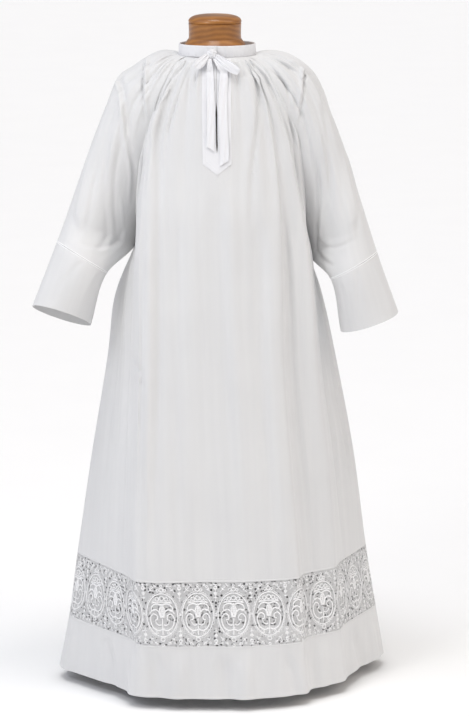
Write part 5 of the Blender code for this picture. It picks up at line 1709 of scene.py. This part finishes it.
def make_studio():
    """A pale floor, soft lights from both sides and above, and the camera."""
    bpy.ops.object.select_all(action="DESELECT")
    bpy.ops.mesh.primitive_plane_add(size=90, location=(0, 0, 0))
    floor = bpy.context.object
    floor.name = "floor"
    pale = Finish("Pale floor", Roughness=0.9, Specular_IOR_Level=0.2)
    mottle = pale.noise(pale.places("Object"), 3.0, 2.0)
    pale.feed(Base_Color=pale.mix(mottle, (0.93, 0.93, 0.93), (0.95, 0.95, 0.95)))
    floor.data.materials.append(pale.material)
    world = bpy.data.worlds.new("Studio")
    scene.world = world
    world.use_nodes = True
    backdrop = world.node_tree.nodes["Background"]
    backdrop.inputs["Color"].default_value = (1.0, 1.0, 1.0, 1.0)
    backdrop.inputs["Strength"].default_value = 0.40
    # Each sun: how far round to the left, how high, strength, spread and colour
    suns = (
        ("cool_side", 74, 36, 0.46, 50, (0.72, 0.78, 1.0)),
        ("overhead", 10, 76, 1.30, 30, (1.0, 1.0, 1.0)),
        ("warm_fill", -70, 38, 0.88, 50, (1.0, 0.90, 0.82)),
    )
    for name, round_left, rise, strength, spread, colour in suns:
        light = bpy.data.lights.new(name, "SUN")
        light.energy = strength
        light.angle = math.radians(spread)
        light.color = colour
        lamp = bpy.data.objects.new(name, light)
        lamp.rotation_euler = (math.radians(90 - rise), 0, math.radians(-round_left))
        scene.collection.objects.link(lamp)
    soft_box = bpy.data.lights.new("soft_box", "AREA")
    soft_box.size = 0.7
    soft_box.energy = 20
    lamp = bpy.data.objects.new("soft_box", soft_box)
    lamp.location = (-1.5, -2.1, 2.5)
    lamp.rotation_euler = (Vector((0, 0, 1.25)) - lamp.location).to_track_quat("-Z", "Y").to_euler()
    scene.collection.objects.link(lamp)
    lens = bpy.data.cameras.new("camera")
    lens.lens = 137.9
    lens.sensor_width = 36
    look_down = 11.88
    camera = bpy.data.objects.new("camera", lens)
    camera.location = (0.0426, -6.0, 2.0)
    camera.rotation_euler = (math.radians(90 - look_down), 0, 0)
    scene.collection.objects.link(camera)
    scene.camera = camera
    scene.view_settings.view_transform = "Standard"


# The cut of what shows: piece, width and length, flat area, how it is held and by what, and
# the pieces on it
CUTS = (
    ("front", 0.980, 1.150, 0.850, "gathered", "neckband_cloth", ()),
    ("back", 0.880, 1.150, 0.750, "gathered", "neckband_cloth", ()),
    ("sleeve_cloth_left", 0.525, 0.570, 0.205, "gathered", "neckband_cloth", ("hemstitch_left",)),
    ("sleeve_cloth_right", 0.505, 0.570, 0.195, "gathered", "neckband_cloth", ("hemstitch_right",)),
    ("cuff_cloth_left", 0.406, 0.150, 0.0545, "hung", "sleeve_cloth_left", ()),
    ("cuff_cloth_right", 0.382, 0.142, 0.0490, "hung", "sleeve_cloth_right", ()),
    ("lace_front_net", 1.000, 0.150, None, "hung", "front",
     ("lace_front_pattern", "lace_edge_top_front", "lace_edge_foot_front")),
    ("lace_back_net", 0.932, 0.150, 0.1365, "hung", "back",
     ("lace_back_pattern", "lace_edge_top_back", "lace_edge_foot_back")),
    ("hem_band_front", 1.034, 0.117, None, "hung", "lace_front_net", ()),
    ("hem_band_back", 0.990, 0.117, None, "hung", "lace_back_net", ()),
    ("neckband_cloth", 0.510, 0.026, None, "gathered", "torso_cover", ("neckband_stitching",)),
    ("placket_cloth", 0.062, 0.242, 0.0143, "laid", "front", ("placket_stitching",)),
    ("tie_loop_left_cloth", 0.020, 0.092, None, "folded", "tie_knot_cloth", ()),
    ("tie_loop_right_cloth", 0.021, 0.128, None, "folded", "tie_knot_cloth", ()),
    ("tie_tail_left_cloth", 0.017, 0.192, None, "hung", "tie_knot_cloth", ()),
    ("tie_tail_right_cloth", 0.020, 0.223, None, "hung", "tie_knot_cloth", ("tie_knot_cloth",)),
)

make_body()
make_cuffs()
make_ladders()
make_bands()
make_neckband()
make_placket()
make_tie()
make_form()
make_studio()
for name, width, length, area, held, holder, on_it in CUTS:
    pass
